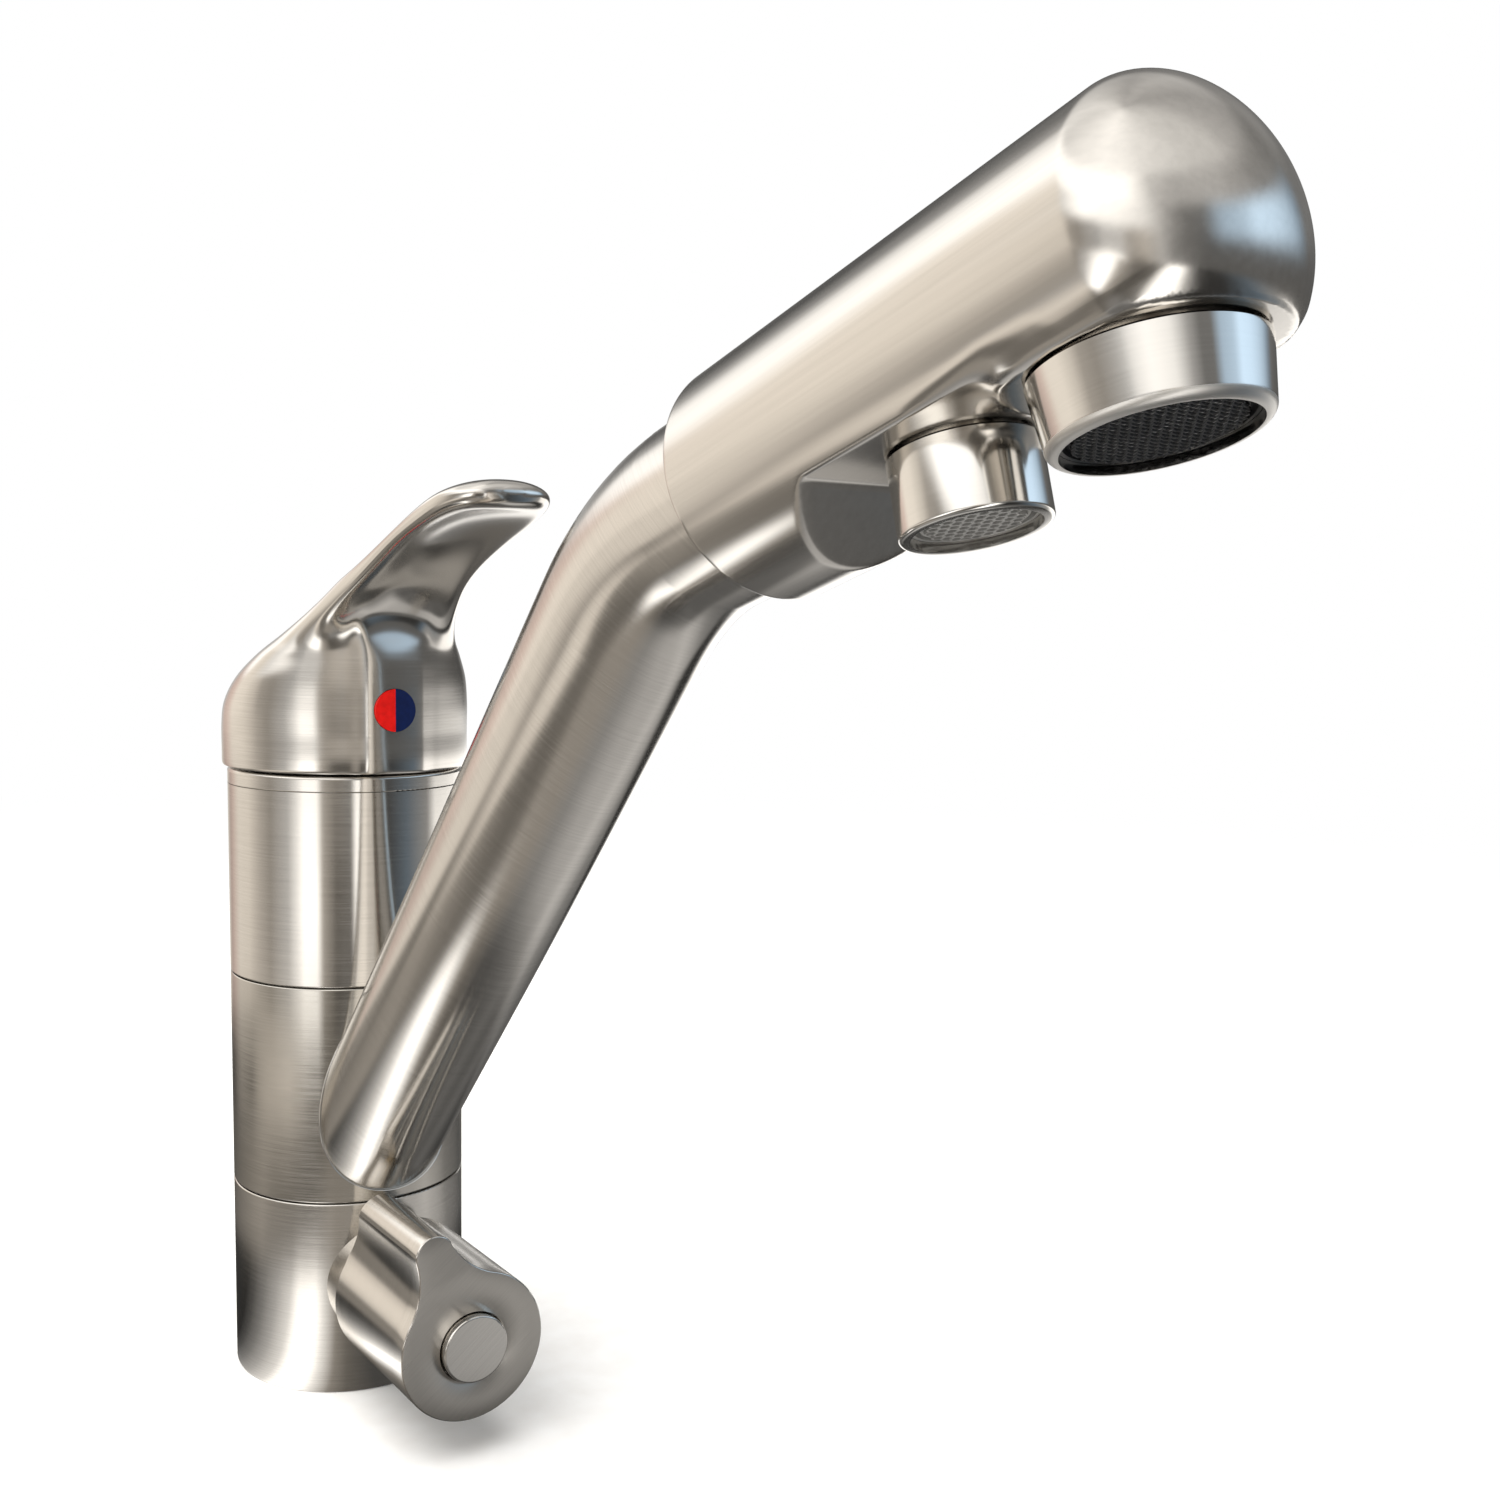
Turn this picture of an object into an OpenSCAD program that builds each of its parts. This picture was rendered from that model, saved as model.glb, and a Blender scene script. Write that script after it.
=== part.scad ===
// Three-way kitchen tap: a single-lever mixer whose spout also carries filtered water,
// with a second, smaller nozzle for it and a filter knob low on the front of the body.
// Origin: centre of the base's underside. +Z is up and the front (spout, knob) is -Y.

/* [Body] */
// Diameter of the round body
body_d = 50; // [48:0.5:53]
// Height of the lower housing that holds the filter valve
lower_h = 42; // [41:0.5:46]
// Height of the swivel collar that carries the spout
collar_h = 46.4; // [46:0.2:50]
// Height of the upper housing that holds the mixing cartridge
upper_h = 41; // [40:0.5:46]
// Height of the trim ring that closes the upper housing
trim_h = 3.6; // [3:0.2:5]
// Shadow gap between the stacked housings
seam = 0.3; // [0.2:0.05:0.5]
// Round on the visible edges of the housings
edge_r = 0.6; // [0.3:0.1:1]

/* [Column] */
// Diameter of the column that the swivel collar turns on
column_d = 34; // [33:0.2:35]
// Radial running clearance of everything that turns
fit = 0.05; // [0.02:0.01:0.09]
// Diameter of the column's screwed ends
spigot_d = 30; // [28:0.5:31]
// Length of the column's lower screwed end
spigot_h = 7; // [5:0.5:8]
// Diameter of the hot and cold passages
passage_d = 6; // [5:0.5:7]
// Sideways place of the hot and cold passages
passage_x = 9; // [8.5:0.5:10]
// Thickness of the O-rings on the column
column_ring_t = 2.4; // [2:0.1:2.8]

/* [Connections] */
// Tapping diameter of the hose inlets (M10 x 1)
inlet_d = 9; // [8.5:0.1:9.5]
// Threaded depth of the hot and cold inlets
inlet_depth = 12; // [10:0.5:14]
// Tapping diameter of the fixing stud hole (M8)
stud_d = 6.8; // [6.6:0.1:7]
// Depth of the fixing stud hole
stud_depth = 16; // [12:0.5:20]
// Distance of the fixing stud behind the axis
stud_y = 17; // [16:0.5:18]
// Width of the base seal
base_seal_w = 2.6; // [2:0.1:3]
// Thickness of the base seal
base_seal_t = 1.8; // [1.4:0.1:2.4]

/* [Spout tube] */
// Outside diameter of the spout tube
tube_d = 28.8; // [27:0.2:30]
// Wall of the spout tube
tube_wall = 1.5; // [1.2:0.1:2]
// Slope of the lower tube above the horizontal
tube_elev = 47.4; // [46:0.2:49]
// Length of the lower tube from the collar's face to the corner of the bend
tube_len = 154; // [130:1:180]
// Radius of the bend along the tube's centre line
bend_r = 55; // [45:1:65]
// Length from the corner of the bend to the start of the head
neck_len = 28.4; // [27:0.2:34]
// Outside diameter of the inner tube for filtered water
filter_tube_d = 7; // [6:0.2:7.6]
// Wall of the inner tube for filtered water
filter_tube_wall = 1; // [0.8:0.1:1.4]

/* [Spout head] */
// Diameter of the head
head_d = 34.6; // [33.4:0.2:36]
// Length of the head from its joint to its tip
head_len = 84.6; // [82:0.2:90]
// Length of the rounded end of the head
dome_len = 11.2; // [9:0.1:14]
// Slope of the head above the horizontal
head_elev = 16.8; // [12:0.2:22]
// How deep the spout tube goes into the head
socket_depth = 8.5; // [6:0.5:9]
// Distance of the flat underside below the head's axis
ceiling_t = 9.3; // [9:0.1:10]
// Distance of the main nozzle's seat below the head's axis
boss_t = 10.5; // [10:0.1:11]
// Length of the flat underside behind the filtered nozzle's axis
ceiling_back = 14.2; // [12:0.2:14.6]
// Length of the slope that leads down from the flat underside
bevel_len = 18.5; // [10:0.5:19]

/* [Nozzles] */
// Distance between the axes of the two nozzles
nozzle_pitch = 28.6; // [28:0.2:30]
// Diameter of the filtered nozzle
filter_nozzle_d = 18.8; // [18:0.2:19.4]
// Length of the filtered nozzle below the flat underside
filter_nozzle_h = 10.4; // [9:0.1:13]
// Distance of the main nozzle's axis behind the head's tip
main_nozzle_back = 17.8; // [17.4:0.1:18.6]
// Diameter of the main nozzle at its top
main_nozzle_d = 26; // [25:0.1:26.4]
// Diameter of the main nozzle at its rim
main_rim_d = 24.2; // [23.6:0.1:25]
// Length of the main nozzle below its seat
main_nozzle_h = 8.6; // [7:0.1:12]

/* [Filter valve] */
// Distance of the knob's axis below the lower housing's top
valve_drop = 18; // [17.5:0.1:19]
// Diameter of the knob's round part
knob_d = 30.2; // [28:0.2:30.4]
// Distance of the knob's front face from the body's axis
knob_face = 63.8; // [58:0.2:70]
// Slope of the lobe's back, from square to the knob's axis
lobe_slope = 29; // [0:1:40]
// Distance of the lobe's top from the knob's axis
lobe_reach = 25.8; // [23:0.2:28]
// Radius of the lobe's top
lobe_r = 4; // [3:0.1:5]
// Radius of the hollows on both sides of the lobe
lobe_hollow_r = 16; // [12:0.5:20]
// Angle of the lobe from upright in the closed position
lobe_rest = 21.4; // [0:0.2:30]
// Diameter of the cap in the knob's face
cap_d = 13.6; // [12:0.2:15]
// How far the cap stands out of the knob's face
cap_proud = 1.6; // [1:0.1:2.5]
// Diameter of the round flange behind the knob
flange_d = 27; // [24:0.2:28]
// Diameter of the screwed valve insert
valve_d = 18; // [17:0.2:18.6]
// Diameter of the valve's spindle
valve_stem_d = 8; // [7:0.2:9]

/* [Cartridge] */
// Outside diameter of the mixing cartridge
cartridge_d = 35; // [34:0.2:36]
// Distance of the lever's pivot below the trim ring's top
pivot_drop = 9.2; // [9:0.1:10]
// Height from the mixing discs' contact face to the pivot
disc_drop = 14; // [13:0.2:15]
// Thickness of each ceramic disc
disc_t = 4; // [3:0.2:5]
// Width of the lever's square spindle
spindle_w = 8; // [7:0.2:8.4]
// Diameter of the pivot pin
pin_d = 3; // [2.5:0.1:3.4]
// How far the lever lifts, in degrees
lift = 25; // [15:1:25]

/* [Lever] */
// Diameter of the lever's skirt
skirt_d = 52; // [51.6:0.1:53]
// Gap between the skirt and the trim ring
skirt_gap = 0.35; // [0.3:0.05:0.6]
// Reach of the lever's tip from the body's axis
lever_reach = 80; // [70:0.5:95]
// Height of the lever's top above the skirt's lower edge
lever_rise = 57.8; // [48:0.2:66]
// Half width of the blade behind its tip
blade_half = 11.8; // [10:0.1:14]
// Width of the raised band down the lever's front
band_w = 15.6; // [13:0.2:18]
// How far the band stands out of the skirt
band_proud = 1; // [0.6:0.1:1.6]
// Diameter of the hot and cold marker
marker_d = 9; // [8:0.1:10]
// Height of the marker above the skirt's lower edge
marker_z = 13.2; // [11:0.1:15]

/* [Hidden] */
$fn = 72;
NICKEL = "#b9b4ab";
BRASS = "#c9a55a";
CERAMIC = "#e9e6df";
RUBBER = "#26262a";
PLASTIC = "#d9d9d4";
STEEL = "#8f9296";

// Heights of the stacked housings
body_r = body_d / 2;
collar_z = lower_h + seam;
upper_z = collar_z + collar_h + seam;
trim_z = upper_z + upper_h;
trim_top = trim_z + trim_h;
skirt_z = trim_top + skirt_gap;
pivot_z = trim_top - pivot_drop;

// Clearances: a sliding or pressed-in seat, and a gap that nothing closes
seat_gap = 0.1;
free_gap = 0.3;
past = 1;

// Column and its passages
column_r = column_d / 2;
spigot_r = spigot_d / 2;
passage_y = 5;
mixed_y = 9;
filter_y = -10.5;
filter_rise_y = -2.2;
filter_in_y = -6;
filter_passage_d = 5;
channel_depth = 2;
main_channel_h = passage_d + 2;
seal_above_port = passage_d * 2;
seal_inset = 1;
glide_inset = 2;
glide_gap = 0.4;
glide_play = 0.02;

// Spout line: the lower tube's axis leaves the collar's face at half its height
tube_r = tube_d / 2;
root_z = collar_z + collar_h / 2;
bend_angle = tube_elev - head_elev;
bend_cut = bend_r * tan(bend_angle / 2);
corner_y = body_r + tube_len * cos(tube_elev);
corner_z = root_z + tube_len * sin(tube_elev);
head_y = corner_y + neck_len * cos(head_elev);
head_z = corner_z + neck_len * sin(head_elev);
head_r = head_d / 2;
seat_r = body_r - 1;
main_nozzle_s = head_len - main_nozzle_back;
filter_nozzle_s = main_nozzle_s - nozzle_pitch;
ceiling_s = filter_nozzle_s - ceiling_back;

// Ports that the spout's two waterways use, as offsets below the tube's axis
filter_t = 4;
main_port_t = -7;
main_port_r = 5;
port_back = 22;
filter_tube_r = filter_tube_d / 2;
filter_tube_start = -8;

// Heights where those ports meet the column
function port_z(t, rho) = root_z - t * cos(tube_elev)
  - (body_r + t * sin(tube_elev) - rho) * tan(tube_elev);
main_port_z = port_z(main_port_t, column_r);
filter_port_z = port_z(filter_t, column_r);

// Nozzles: gap under the seat, threaded necks, rims and sieves
nozzle_gap = 0.3;
rim_bevel = 0.7;
rim_lip = 1.2;
lip_step = 0.2;
floor_t = 1;
insert_gap = 0.05;
sieve_edge = 0.5;
sieve_groove_w = 0.8;
sieve_groove_t = 0.8;
insert_wall = 1.2;
thread_wall = 1.6;
shoulder_w = 1.5;
main_thread_r = main_nozzle_d / 2 - shoulder_w;
filter_thread_r = filter_nozzle_d / 2 - shoulder_w;
main_thread_h = 6;
filter_thread_h = 5;
mesh_recess = 1.2;
washer_t = 1.5;
head_wall = 2.4;
filter_socket_h = filter_thread_h + washer_t + past;

// Filter valve, measured out from the body's axis
valve_z = lower_h - valve_drop;
valve_r = valve_d / 2;
valve_depth = 5;
valve_stem_r = valve_stem_d / 2;
valve_disc_t = 2;
valve_wall = 2;
valve_disc_r = valve_r - valve_wall;
flange_t = 4.4;
flange_face = body_r + flange_t;
knob_back = flange_face + 0.5;
insert_end = body_r - 2;
insert_nose_r = 7.5;
insert_grip = 5;
insert_nose = knob_back + insert_grip;
disc_chamber_h = 3.5;
outlet_d = 2.6;
knob_seal_w = 1.6;
knob_seal_h = 2;
seal_back = 7;
seal_place = body_r - seal_back;
bar_t = 2.5;
bar_w = 2.8;
knob_r = knob_d / 2;
cap_depth = 3;
screw_head_d = 7;
screw_head_t = 2.8;
screw_seat = knob_face - cap_depth - 4;
screw_core = 3.4;
screw_hold = 8;
screw_run = 11;
stem_end = screw_seat - screw_run;

// Cartridge: a shoulder lets the nut press it down, and the rotor turns in its neck
cartridge_r = cartridge_d / 2;
disc_face = pivot_z - disc_drop;
fixed_disc_z = disc_face - disc_t;
base_h = 6;
cartridge_z = fixed_disc_z - base_h;
seal_t = 1.5;
bore_z = cartridge_z - seal_t;
bore_floor = 2.9;
top_spigot_h = bore_z - bore_floor - upper_z;
trim_spigot_h = 4;
trim_spigot_w = 2;
trim_spigot_r = body_r - 3;
housing_top = trim_z - trim_spigot_h;
nut_h = 7;
nut_z = housing_top - nut_h;
nut_r = cartridge_r + 1.5;
shoulder_w_in = 3;
shoulder_up = 3;
shoulder_z = nut_z + shoulder_up;
disc_wall = 2.5;
mixing_room = 6;
rotor_neck = 4;
disc_r = cartridge_r - disc_wall;
mixing_r = disc_r - mixing_room;
mixing_t = disc_t + 1.5;
mixing_top = disc_face + mixing_t;
mixing_hollow_r = mixing_r - 3;
mixing_hollow_t = 0.8;
port_d = passage_d - 1.5;
lapped_gap = 0.03;
rotor_r = disc_r - rotor_neck;
rotor_sink = 5;
rotor_top = trim_top - rotor_sink;
rotor_wall = 2;
pin_half = rotor_r - 1;
spindle_heel = 4;
spindle_top = skirt_z + marker_z + 3.8;
ball_drop = disc_drop - 3.6;
ball_r = 2;
ball_play = 0.2;

// A ring with rounded outer edges
module rounded_ring(r, bore, z0, z1, round_low, round_high) {
  rotate_extrude($fn = 96)
    difference() {
      translate([bore, z0]) square([r - bore, z1 - z0]);
      if (round_low > 0) edge_cut(r, z0, round_low, 1);
      if (round_high > 0) edge_cut(r, z1, round_high, -1);
    }
}

// What a round takes off one corner of a turned profile
module edge_cut(r, z, round_r, up) {
  difference() {
    translate([r - round_r, up > 0 ? z - past : z - round_r]) square([round_r + past, round_r + past]);
    translate([r - round_r, z + up * round_r]) circle(r = round_r, $fn = 32);
  }
}

// A turned O-ring of round section, centred on height z
module o_ring(r, thick, z) {
  translate([0, 0, z]) rotate_extrude($fn = 64) translate([r, 0]) circle(d = thick, $fn = 20);
}

// Places that several pieces share
module on_tube() {
  translate([0, -body_r, root_z]) rotate([90 - tube_elev, 0, 0]) children();
}
module on_head() {
  translate([0, -head_y, head_z]) rotate([90 - head_elev, 0, 0]) children();
}
module on_nozzle(s) {
  on_head() translate([0, 0, s]) rotate([90, 0, 0]) children();
}
module on_valve() {
  translate([0, 0, valve_z]) rotate([90, 0, 0]) children();
}
module on_pivot() {
  translate([0, 0, pivot_z]) rotate([0, 90, 0]) children();
}

// A rod that follows the spout's line, t below its axis. Its neck is a hair thicker than the
// bend, like the sized end of a bent tube, and starts just inside it so that both join
sized = 0.04;
neck_lap = 0.5;
module spout_rod(r, t, start, end) {
  on_tube() translate([0, -t, start]) cylinder(r = r, h = tube_len - bend_cut - start);
  on_tube() translate([0, -bend_r, tube_len - bend_cut]) rotate([90, 0, 90])
    rotate_extrude(angle = bend_angle) translate([bend_r - t, 0]) circle(r = r);
  on_head() translate([0, -t, bend_cut - neck_len - neck_lap])
    cylinder(r = r + sized, h = neck_len - bend_cut + neck_lap + end);
}

// The space inside the collar's brazed seat for the spout tube
module tube_seat() {
  difference() {
    on_tube() translate([0, 0, -port_back]) cylinder(r = tube_r, h = port_back + body_r);
    cylinder(r = seat_r, h = upper_z + upper_h, $fn = 96);
  }
}

module lower_body() {
  color(NICKEL) difference() {
    rounded_ring(body_r, 0, 0, lower_h, edge_r, edge_r / 2);
    translate([0, 0, lower_h - spigot_h]) cylinder(r = spigot_r, h = spigot_h + past);
    for (side = [-1, 1]) translate([side * passage_x, passage_y, 0]) {
      translate([0, 0, -past]) cylinder(d = inlet_d, h = inlet_depth + past);
      cylinder(d = passage_d, h = lower_h);
    }
    translate([0, filter_in_y, -past]) cylinder(d = inlet_d, h = inlet_depth + past);
    translate([0, filter_rise_y, inlet_depth - filter_passage_d / 2])
      cylinder(d = filter_passage_d, h = valve_z - inlet_depth + filter_passage_d / 2);
    on_valve() translate([0, 0, -filter_rise_y]) cylinder(d = filter_passage_d, h = valve_depth);
    translate([0, filter_y, valve_z]) cylinder(d = filter_passage_d, h = lower_h);
    translate([0, stud_y, -past]) cylinder(d = stud_d, h = stud_depth + past);
    on_valve() translate([0, 0, valve_depth]) cylinder(r = valve_r, h = body_r);
    base_seal_space();
  }
}

// Groove of the base seal, open at the foot
module base_seal_space() {
  rotate_extrude($fn = 96) translate([body_r - seal_inset - base_seal_w, -past])
    square([base_seal_w, base_seal_t + past]);
}

module base_seal() {
  color(RUBBER)
    rounded_ring(body_r - seal_inset, body_r - seal_inset - base_seal_w, 0, base_seal_t, 0, 0);
}

// Heights of the column's sealing rings: below, between and above the two channels
seal_heights = [collar_z + column_ring_t, (filter_port_z + main_port_z) / 2,
                main_port_z + seal_above_port, collar_z + collar_h - column_ring_t];

// An open groove round the column that feeds a port of the turning collar
module channel(z, high) {
  rotate_extrude($fn = 96) translate([column_r - channel_depth, z - high / 2])
    square([channel_depth + past, high]);
}

module core_column() {
  color(BRASS) difference() {
    union() {
      translate([0, 0, lower_h - spigot_h]) cylinder(r = spigot_r, h = spigot_h);
      translate([0, 0, lower_h]) cylinder(r = column_r, h = upper_z - lower_h, $fn = 96);
      translate([0, 0, upper_z]) cylinder(r = spigot_r, h = top_spigot_h);
    }
    for (side = [-1, 1]) translate([side * passage_x, passage_y, 0])
      cylinder(d = passage_d, h = upper_z + top_spigot_h + past);
    translate([0, filter_y, 0]) cylinder(d = filter_passage_d, h = filter_port_z);
    translate([0, mixed_y, main_port_z]) cylinder(d = passage_d, h = upper_z);
    translate([0, filter_y, filter_port_z]) rotate([90, 0, 0])
      cylinder(d = filter_passage_d, h = column_r);
    translate([0, mixed_y, main_port_z]) rotate([-90, 0, 0]) cylinder(d = passage_d, h = column_r);
    channel(filter_port_z, filter_passage_d);
    channel(main_port_z, main_channel_h);
    for (z = seal_heights) o_ring(column_r, column_ring_t, z);
  }
}

// Half-round rings that fill their grooves flush with the column
module column_seals() {
  color(RUBBER) for (z = seal_heights) intersection() {
    o_ring(column_r, column_ring_t, z);
    translate([0, 0, z - column_ring_t]) cylinder(r = column_r, h = column_ring_t * 2, $fn = 96);
  }
}

// The thin bearing rings in the two seams beside the collar
module glide_rings() {
  color(PLASTIC) for (z = [lower_h, upper_z - seam])
    rounded_ring(body_r - glide_inset, column_r + glide_gap, z + glide_play, z + seam - glide_play, 0, 0);
}

module swivel_collar() {
  color(NICKEL) difference() {
    rounded_ring(body_r, column_r + fit, collar_z, collar_z + collar_h, edge_r / 2, edge_r / 2);
    tube_seat();
    on_tube() translate([0, -main_port_t, -port_back]) cylinder(r = main_port_r, h = port_back + body_r / 2);
    on_tube() translate([0, -filter_t, -port_back]) cylinder(r = filter_tube_r - 1, h = port_back);
    on_tube() translate([0, -filter_t, filter_tube_start]) cylinder(r = filter_tube_r, h = body_r);
  }
}

module spout_tube() {
  color(NICKEL) difference() {
    spout_rod(tube_r, 0, -port_back, socket_depth);
    spout_rod(tube_r - tube_wall, 0, -port_back - 1, socket_depth + 1);
    cylinder(r = seat_r, h = upper_z + upper_h, $fn = 96);
    tube_seal_groove(1);
  }
}

// Groove near the tube's upper end, and the ring that lies in it
module tube_seal_groove(out) {
  on_head() rotate_extrude($fn = 96) translate([tube_r + sized - groove_depth, (socket_depth - groove_w) / 2])
    square([groove_depth + out, groove_w]);
}
groove_depth = 0.8;
groove_w = 1.4;

module tube_seal() {
  color(RUBBER) tube_seal_groove(0);
}

module filter_tube() {
  color("#e8e8e8") difference() {
    spout_rod(filter_tube_r, filter_t, filter_tube_start, filter_tube_end);
    spout_rod(filter_tube_r - filter_tube_wall, filter_t, filter_tube_start - 1, filter_tube_end + 1);
  }
}
filter_tube_end = filter_nozzle_s - filter_thread_r - past;

// The head's rounded end as a turned profile: a quarter ellipse, a little fuller than round
dome_steps = 24;
dome_full = 1.08;
function dome_point(i) = let (turn = 90 * i / dome_steps)
  [head_r * pow(cos(turn), dome_full), head_len - dome_len + dome_len * pow(sin(turn), dome_full)];

module head_form() {
  rotate_extrude($fn = 96) polygon([[0, 0], [head_r - edge_r, 0], [head_r, edge_r],
    for (i = [0:dome_steps - 1]) dome_point(i), [0, head_len]]);
}

// What the flat underside and its slope take off the head, seen along X. It lies a step
// lower beyond the main nozzle's middle, level with that nozzle's seat
module underside_cut() {
  far = head_len * 2;
  rotate([90, 0, 90]) translate([0, 0, -head_d]) linear_extrude(head_d * 2)
    polygon([[-ceiling_t, ceiling_s], [-ceiling_t, main_nozzle_s], [-boss_t, main_nozzle_s],
             [-boss_t, far], [-head_d, far], [-head_d, 0], [-head_r, ceiling_s - bevel_len]]);
}

// Radius of the seat that stands out of the flat underside around the main nozzle
boss_r = main_nozzle_d / 2 + 1.5;

module spout_head() {
  inner_r = tube_r - tube_wall;
  color(NICKEL) difference() {
    union() {
      on_head() difference() {
        head_form();
        underside_cut();
      }
      intersection() {
        on_head() head_form();
        on_nozzle(main_nozzle_s) cylinder(r = boss_r, h = boss_t, $fn = 96);
      }
    }
    on_head() translate([0, 0, -past]) cylinder(r = tube_r + sized, h = socket_depth + past);
    head_chamber(inner_r);
    on_nozzle(main_nozzle_s) cylinder(r = main_thread_r, h = head_r);
    on_nozzle(filter_nozzle_s) translate([0, 0, ceiling_t - filter_socket_h])
      cylinder(r = filter_thread_r, h = head_r);
    on_head() translate([0, -filter_t, 0]) cylinder(r = filter_tube_r + sized, h = filter_tube_end);
    on_head() translate([0, -filter_t, 0])
      cylinder(r = filter_tube_r - filter_tube_wall, h = filter_nozzle_s);
  }
}

// Room for the mixed water: it stays above the flat underside and around the small socket
module head_chamber(r) {
  difference() {
    intersection() {
      on_head() cylinder(r = r, h = main_nozzle_s + main_thread_r - thread_wall);
      on_head() translate([-head_d, head_wall - ceiling_t, 0]) cube([head_d * 2, head_d * 2, head_len]);
    }
    on_nozzle(filter_nozzle_s) translate([0, 0, ceiling_t - filter_socket_h - head_wall])
      cylinder(r = filter_thread_r + head_wall - 1, h = head_d);
    on_head() translate([0, -filter_t, ceiling_s - bevel_len])
      cylinder(r = filter_tube_r + 1.2, h = filter_nozzle_s - ceiling_s + bevel_len);
  }
}

// A nozzle sleeve: threaded neck, visible sleeve that may taper, and a bevelled rim
module nozzle_sleeve(seat, top_r, rim_r, neck_r, neck_h, long) {
  end = seat + long;
  top = seat + nozzle_gap;
  inside = rim_r - rim_lip - lip_step;
  rotate_extrude($fn = 96) polygon([
    [neck_r - thread_wall, seat - neck_h], [neck_r - fit, seat - neck_h], [neck_r - fit, top],
    [top_r - edge_r / 2, top], [top_r, top + edge_r / 2], [rim_r, end - rim_bevel],
    [rim_r - rim_bevel, end], [rim_r - rim_lip, end], [inside, end - rim_bevel],
    [inside, top + floor_t], [neck_r - thread_wall, top + floor_t]]);
}

module main_nozzle() {
  color(NICKEL) on_nozzle(main_nozzle_s)
    nozzle_sleeve(boss_t, main_nozzle_d / 2, main_rim_d / 2, main_thread_r, main_thread_h, main_nozzle_h);
}

module filter_nozzle() {
  color(NICKEL) on_nozzle(filter_nozzle_s)
    nozzle_sleeve(ceiling_t, filter_nozzle_d / 2, filter_nozzle_d / 2, filter_thread_r,
                  filter_thread_h, filter_nozzle_h);
}

// The plastic jet regulator inside a nozzle: a cup with a round groove beside its flat sieve
module jet_insert(seat, rim_r, neck_r, neck_h, long) {
  wide = rim_r - rim_lip - lip_step - insert_gap;
  narrow = neck_r - thread_wall;
  sieve = seat + long - mesh_recess;
  difference() {
    union() {
      translate([0, 0, seat - neck_h]) cylinder(r = narrow, h = neck_h + floor_t * 2);
      translate([0, 0, seat + nozzle_gap + floor_t])
        cylinder(r = wide, h = long - nozzle_gap - floor_t - mesh_recess);
    }
    translate([0, 0, seat - neck_h - past]) cylinder(r = narrow - insert_wall, h = neck_h - floor_t + past);
    rotate_extrude() translate([wide - sieve_edge - sieve_groove_w, sieve - sieve_groove_t])
      square([sieve_groove_w, sieve_groove_t + past]);
  }
}

module main_aerator() {
  color(RUBBER) on_nozzle(main_nozzle_s)
    jet_insert(boss_t, main_rim_d / 2, main_thread_r, main_thread_h, main_nozzle_h);
}

module filter_aerator() {
  color("#a9aaa8") on_nozzle(filter_nozzle_s)
    jet_insert(ceiling_t, filter_nozzle_d / 2, filter_thread_r, filter_thread_h, filter_nozzle_h);
}

// A flat sealing washer above a nozzle's neck
module nozzle_washer(seat, neck_r, neck_h) {
  bore = neck_r - thread_wall - sieve_edge;
  rotate_extrude() translate([bore, seat - neck_h - washer_t]) square([neck_r - fit - bore, washer_t]);
}

module main_washer() {
  color(RUBBER) on_nozzle(main_nozzle_s) nozzle_washer(boss_t, main_thread_r, main_thread_h);
}

module filter_washer() {
  color(RUBBER) on_nozzle(filter_nozzle_s) nozzle_washer(ceiling_t, filter_thread_r, filter_thread_h);
}

module upper_body() {
  color(NICKEL) difference() {
    rounded_ring(body_r, 0, upper_z, trim_z, edge_r / 2, 0);
    translate([0, 0, upper_z - past]) cylinder(r = spigot_r, h = top_spigot_h + past);
    translate([0, 0, bore_z]) cylinder(r = cartridge_r + seat_gap, h = upper_h);
    translate([0, 0, nut_z]) cylinder(r = nut_r, h = upper_h);
    translate([0, 0, housing_top]) cylinder(r = trim_spigot_r, h = upper_h);
    water_ways(upper_z, upper_h, passage_d);
  }
}

// The hot, cold and mixed passages side by side
module water_ways(z, high, d) {
  for (side = [-1, 1]) translate([side * passage_x, passage_y, z]) cylinder(d = d, h = high);
  translate([0, mixed_y, z]) cylinder(d = d, h = high);
}

module trim_ring() {
  color(NICKEL) union() {
    rounded_ring(body_r, trim_spigot_r - trim_spigot_w, trim_z, trim_top, edge_r / 2, edge_r * 1.6);
    rotate_extrude($fn = 96) translate([trim_spigot_r - trim_spigot_w, housing_top])
      square([trim_spigot_w, trim_spigot_h + past]);
  }
}

module cartridge_nut() {
  slot_w = 4;
  slot_t = 2;
  color(BRASS) difference() {
    translate([0, 0, nut_z]) cylinder(r = nut_r, h = nut_h - free_gap);
    translate([0, 0, nut_z - past]) cylinder(r = cartridge_r - shoulder_w_in, h = nut_h + past * 2);
    translate([0, 0, nut_z - past]) cylinder(r = cartridge_r + seat_gap, h = shoulder_up + past);
    for (turn = [45:90:315]) rotate([0, 0, turn])
      translate([nut_r - shoulder_w_in, -slot_w / 2, housing_top - slot_t - free_gap])
        cube([slot_t, slot_w, slot_t + past]);
  }
}

module cartridge_housing() {
  neck_r = cartridge_r - shoulder_w_in - seat_gap;
  color(PLASTIC) difference() {
    union() {
      translate([0, 0, fixed_disc_z]) cylinder(r = cartridge_r, h = shoulder_z - fixed_disc_z);
      translate([0, 0, shoulder_z - past]) cylinder(r = neck_r, h = housing_top - shoulder_z + past);
    }
    translate([0, 0, fixed_disc_z - past])
      cylinder(r = disc_r + fit, h = mixing_top + free_gap + past - fixed_disc_z);
    translate([0, 0, fixed_disc_z]) cylinder(r = rotor_r + fit, h = upper_h);
  }
}

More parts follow.
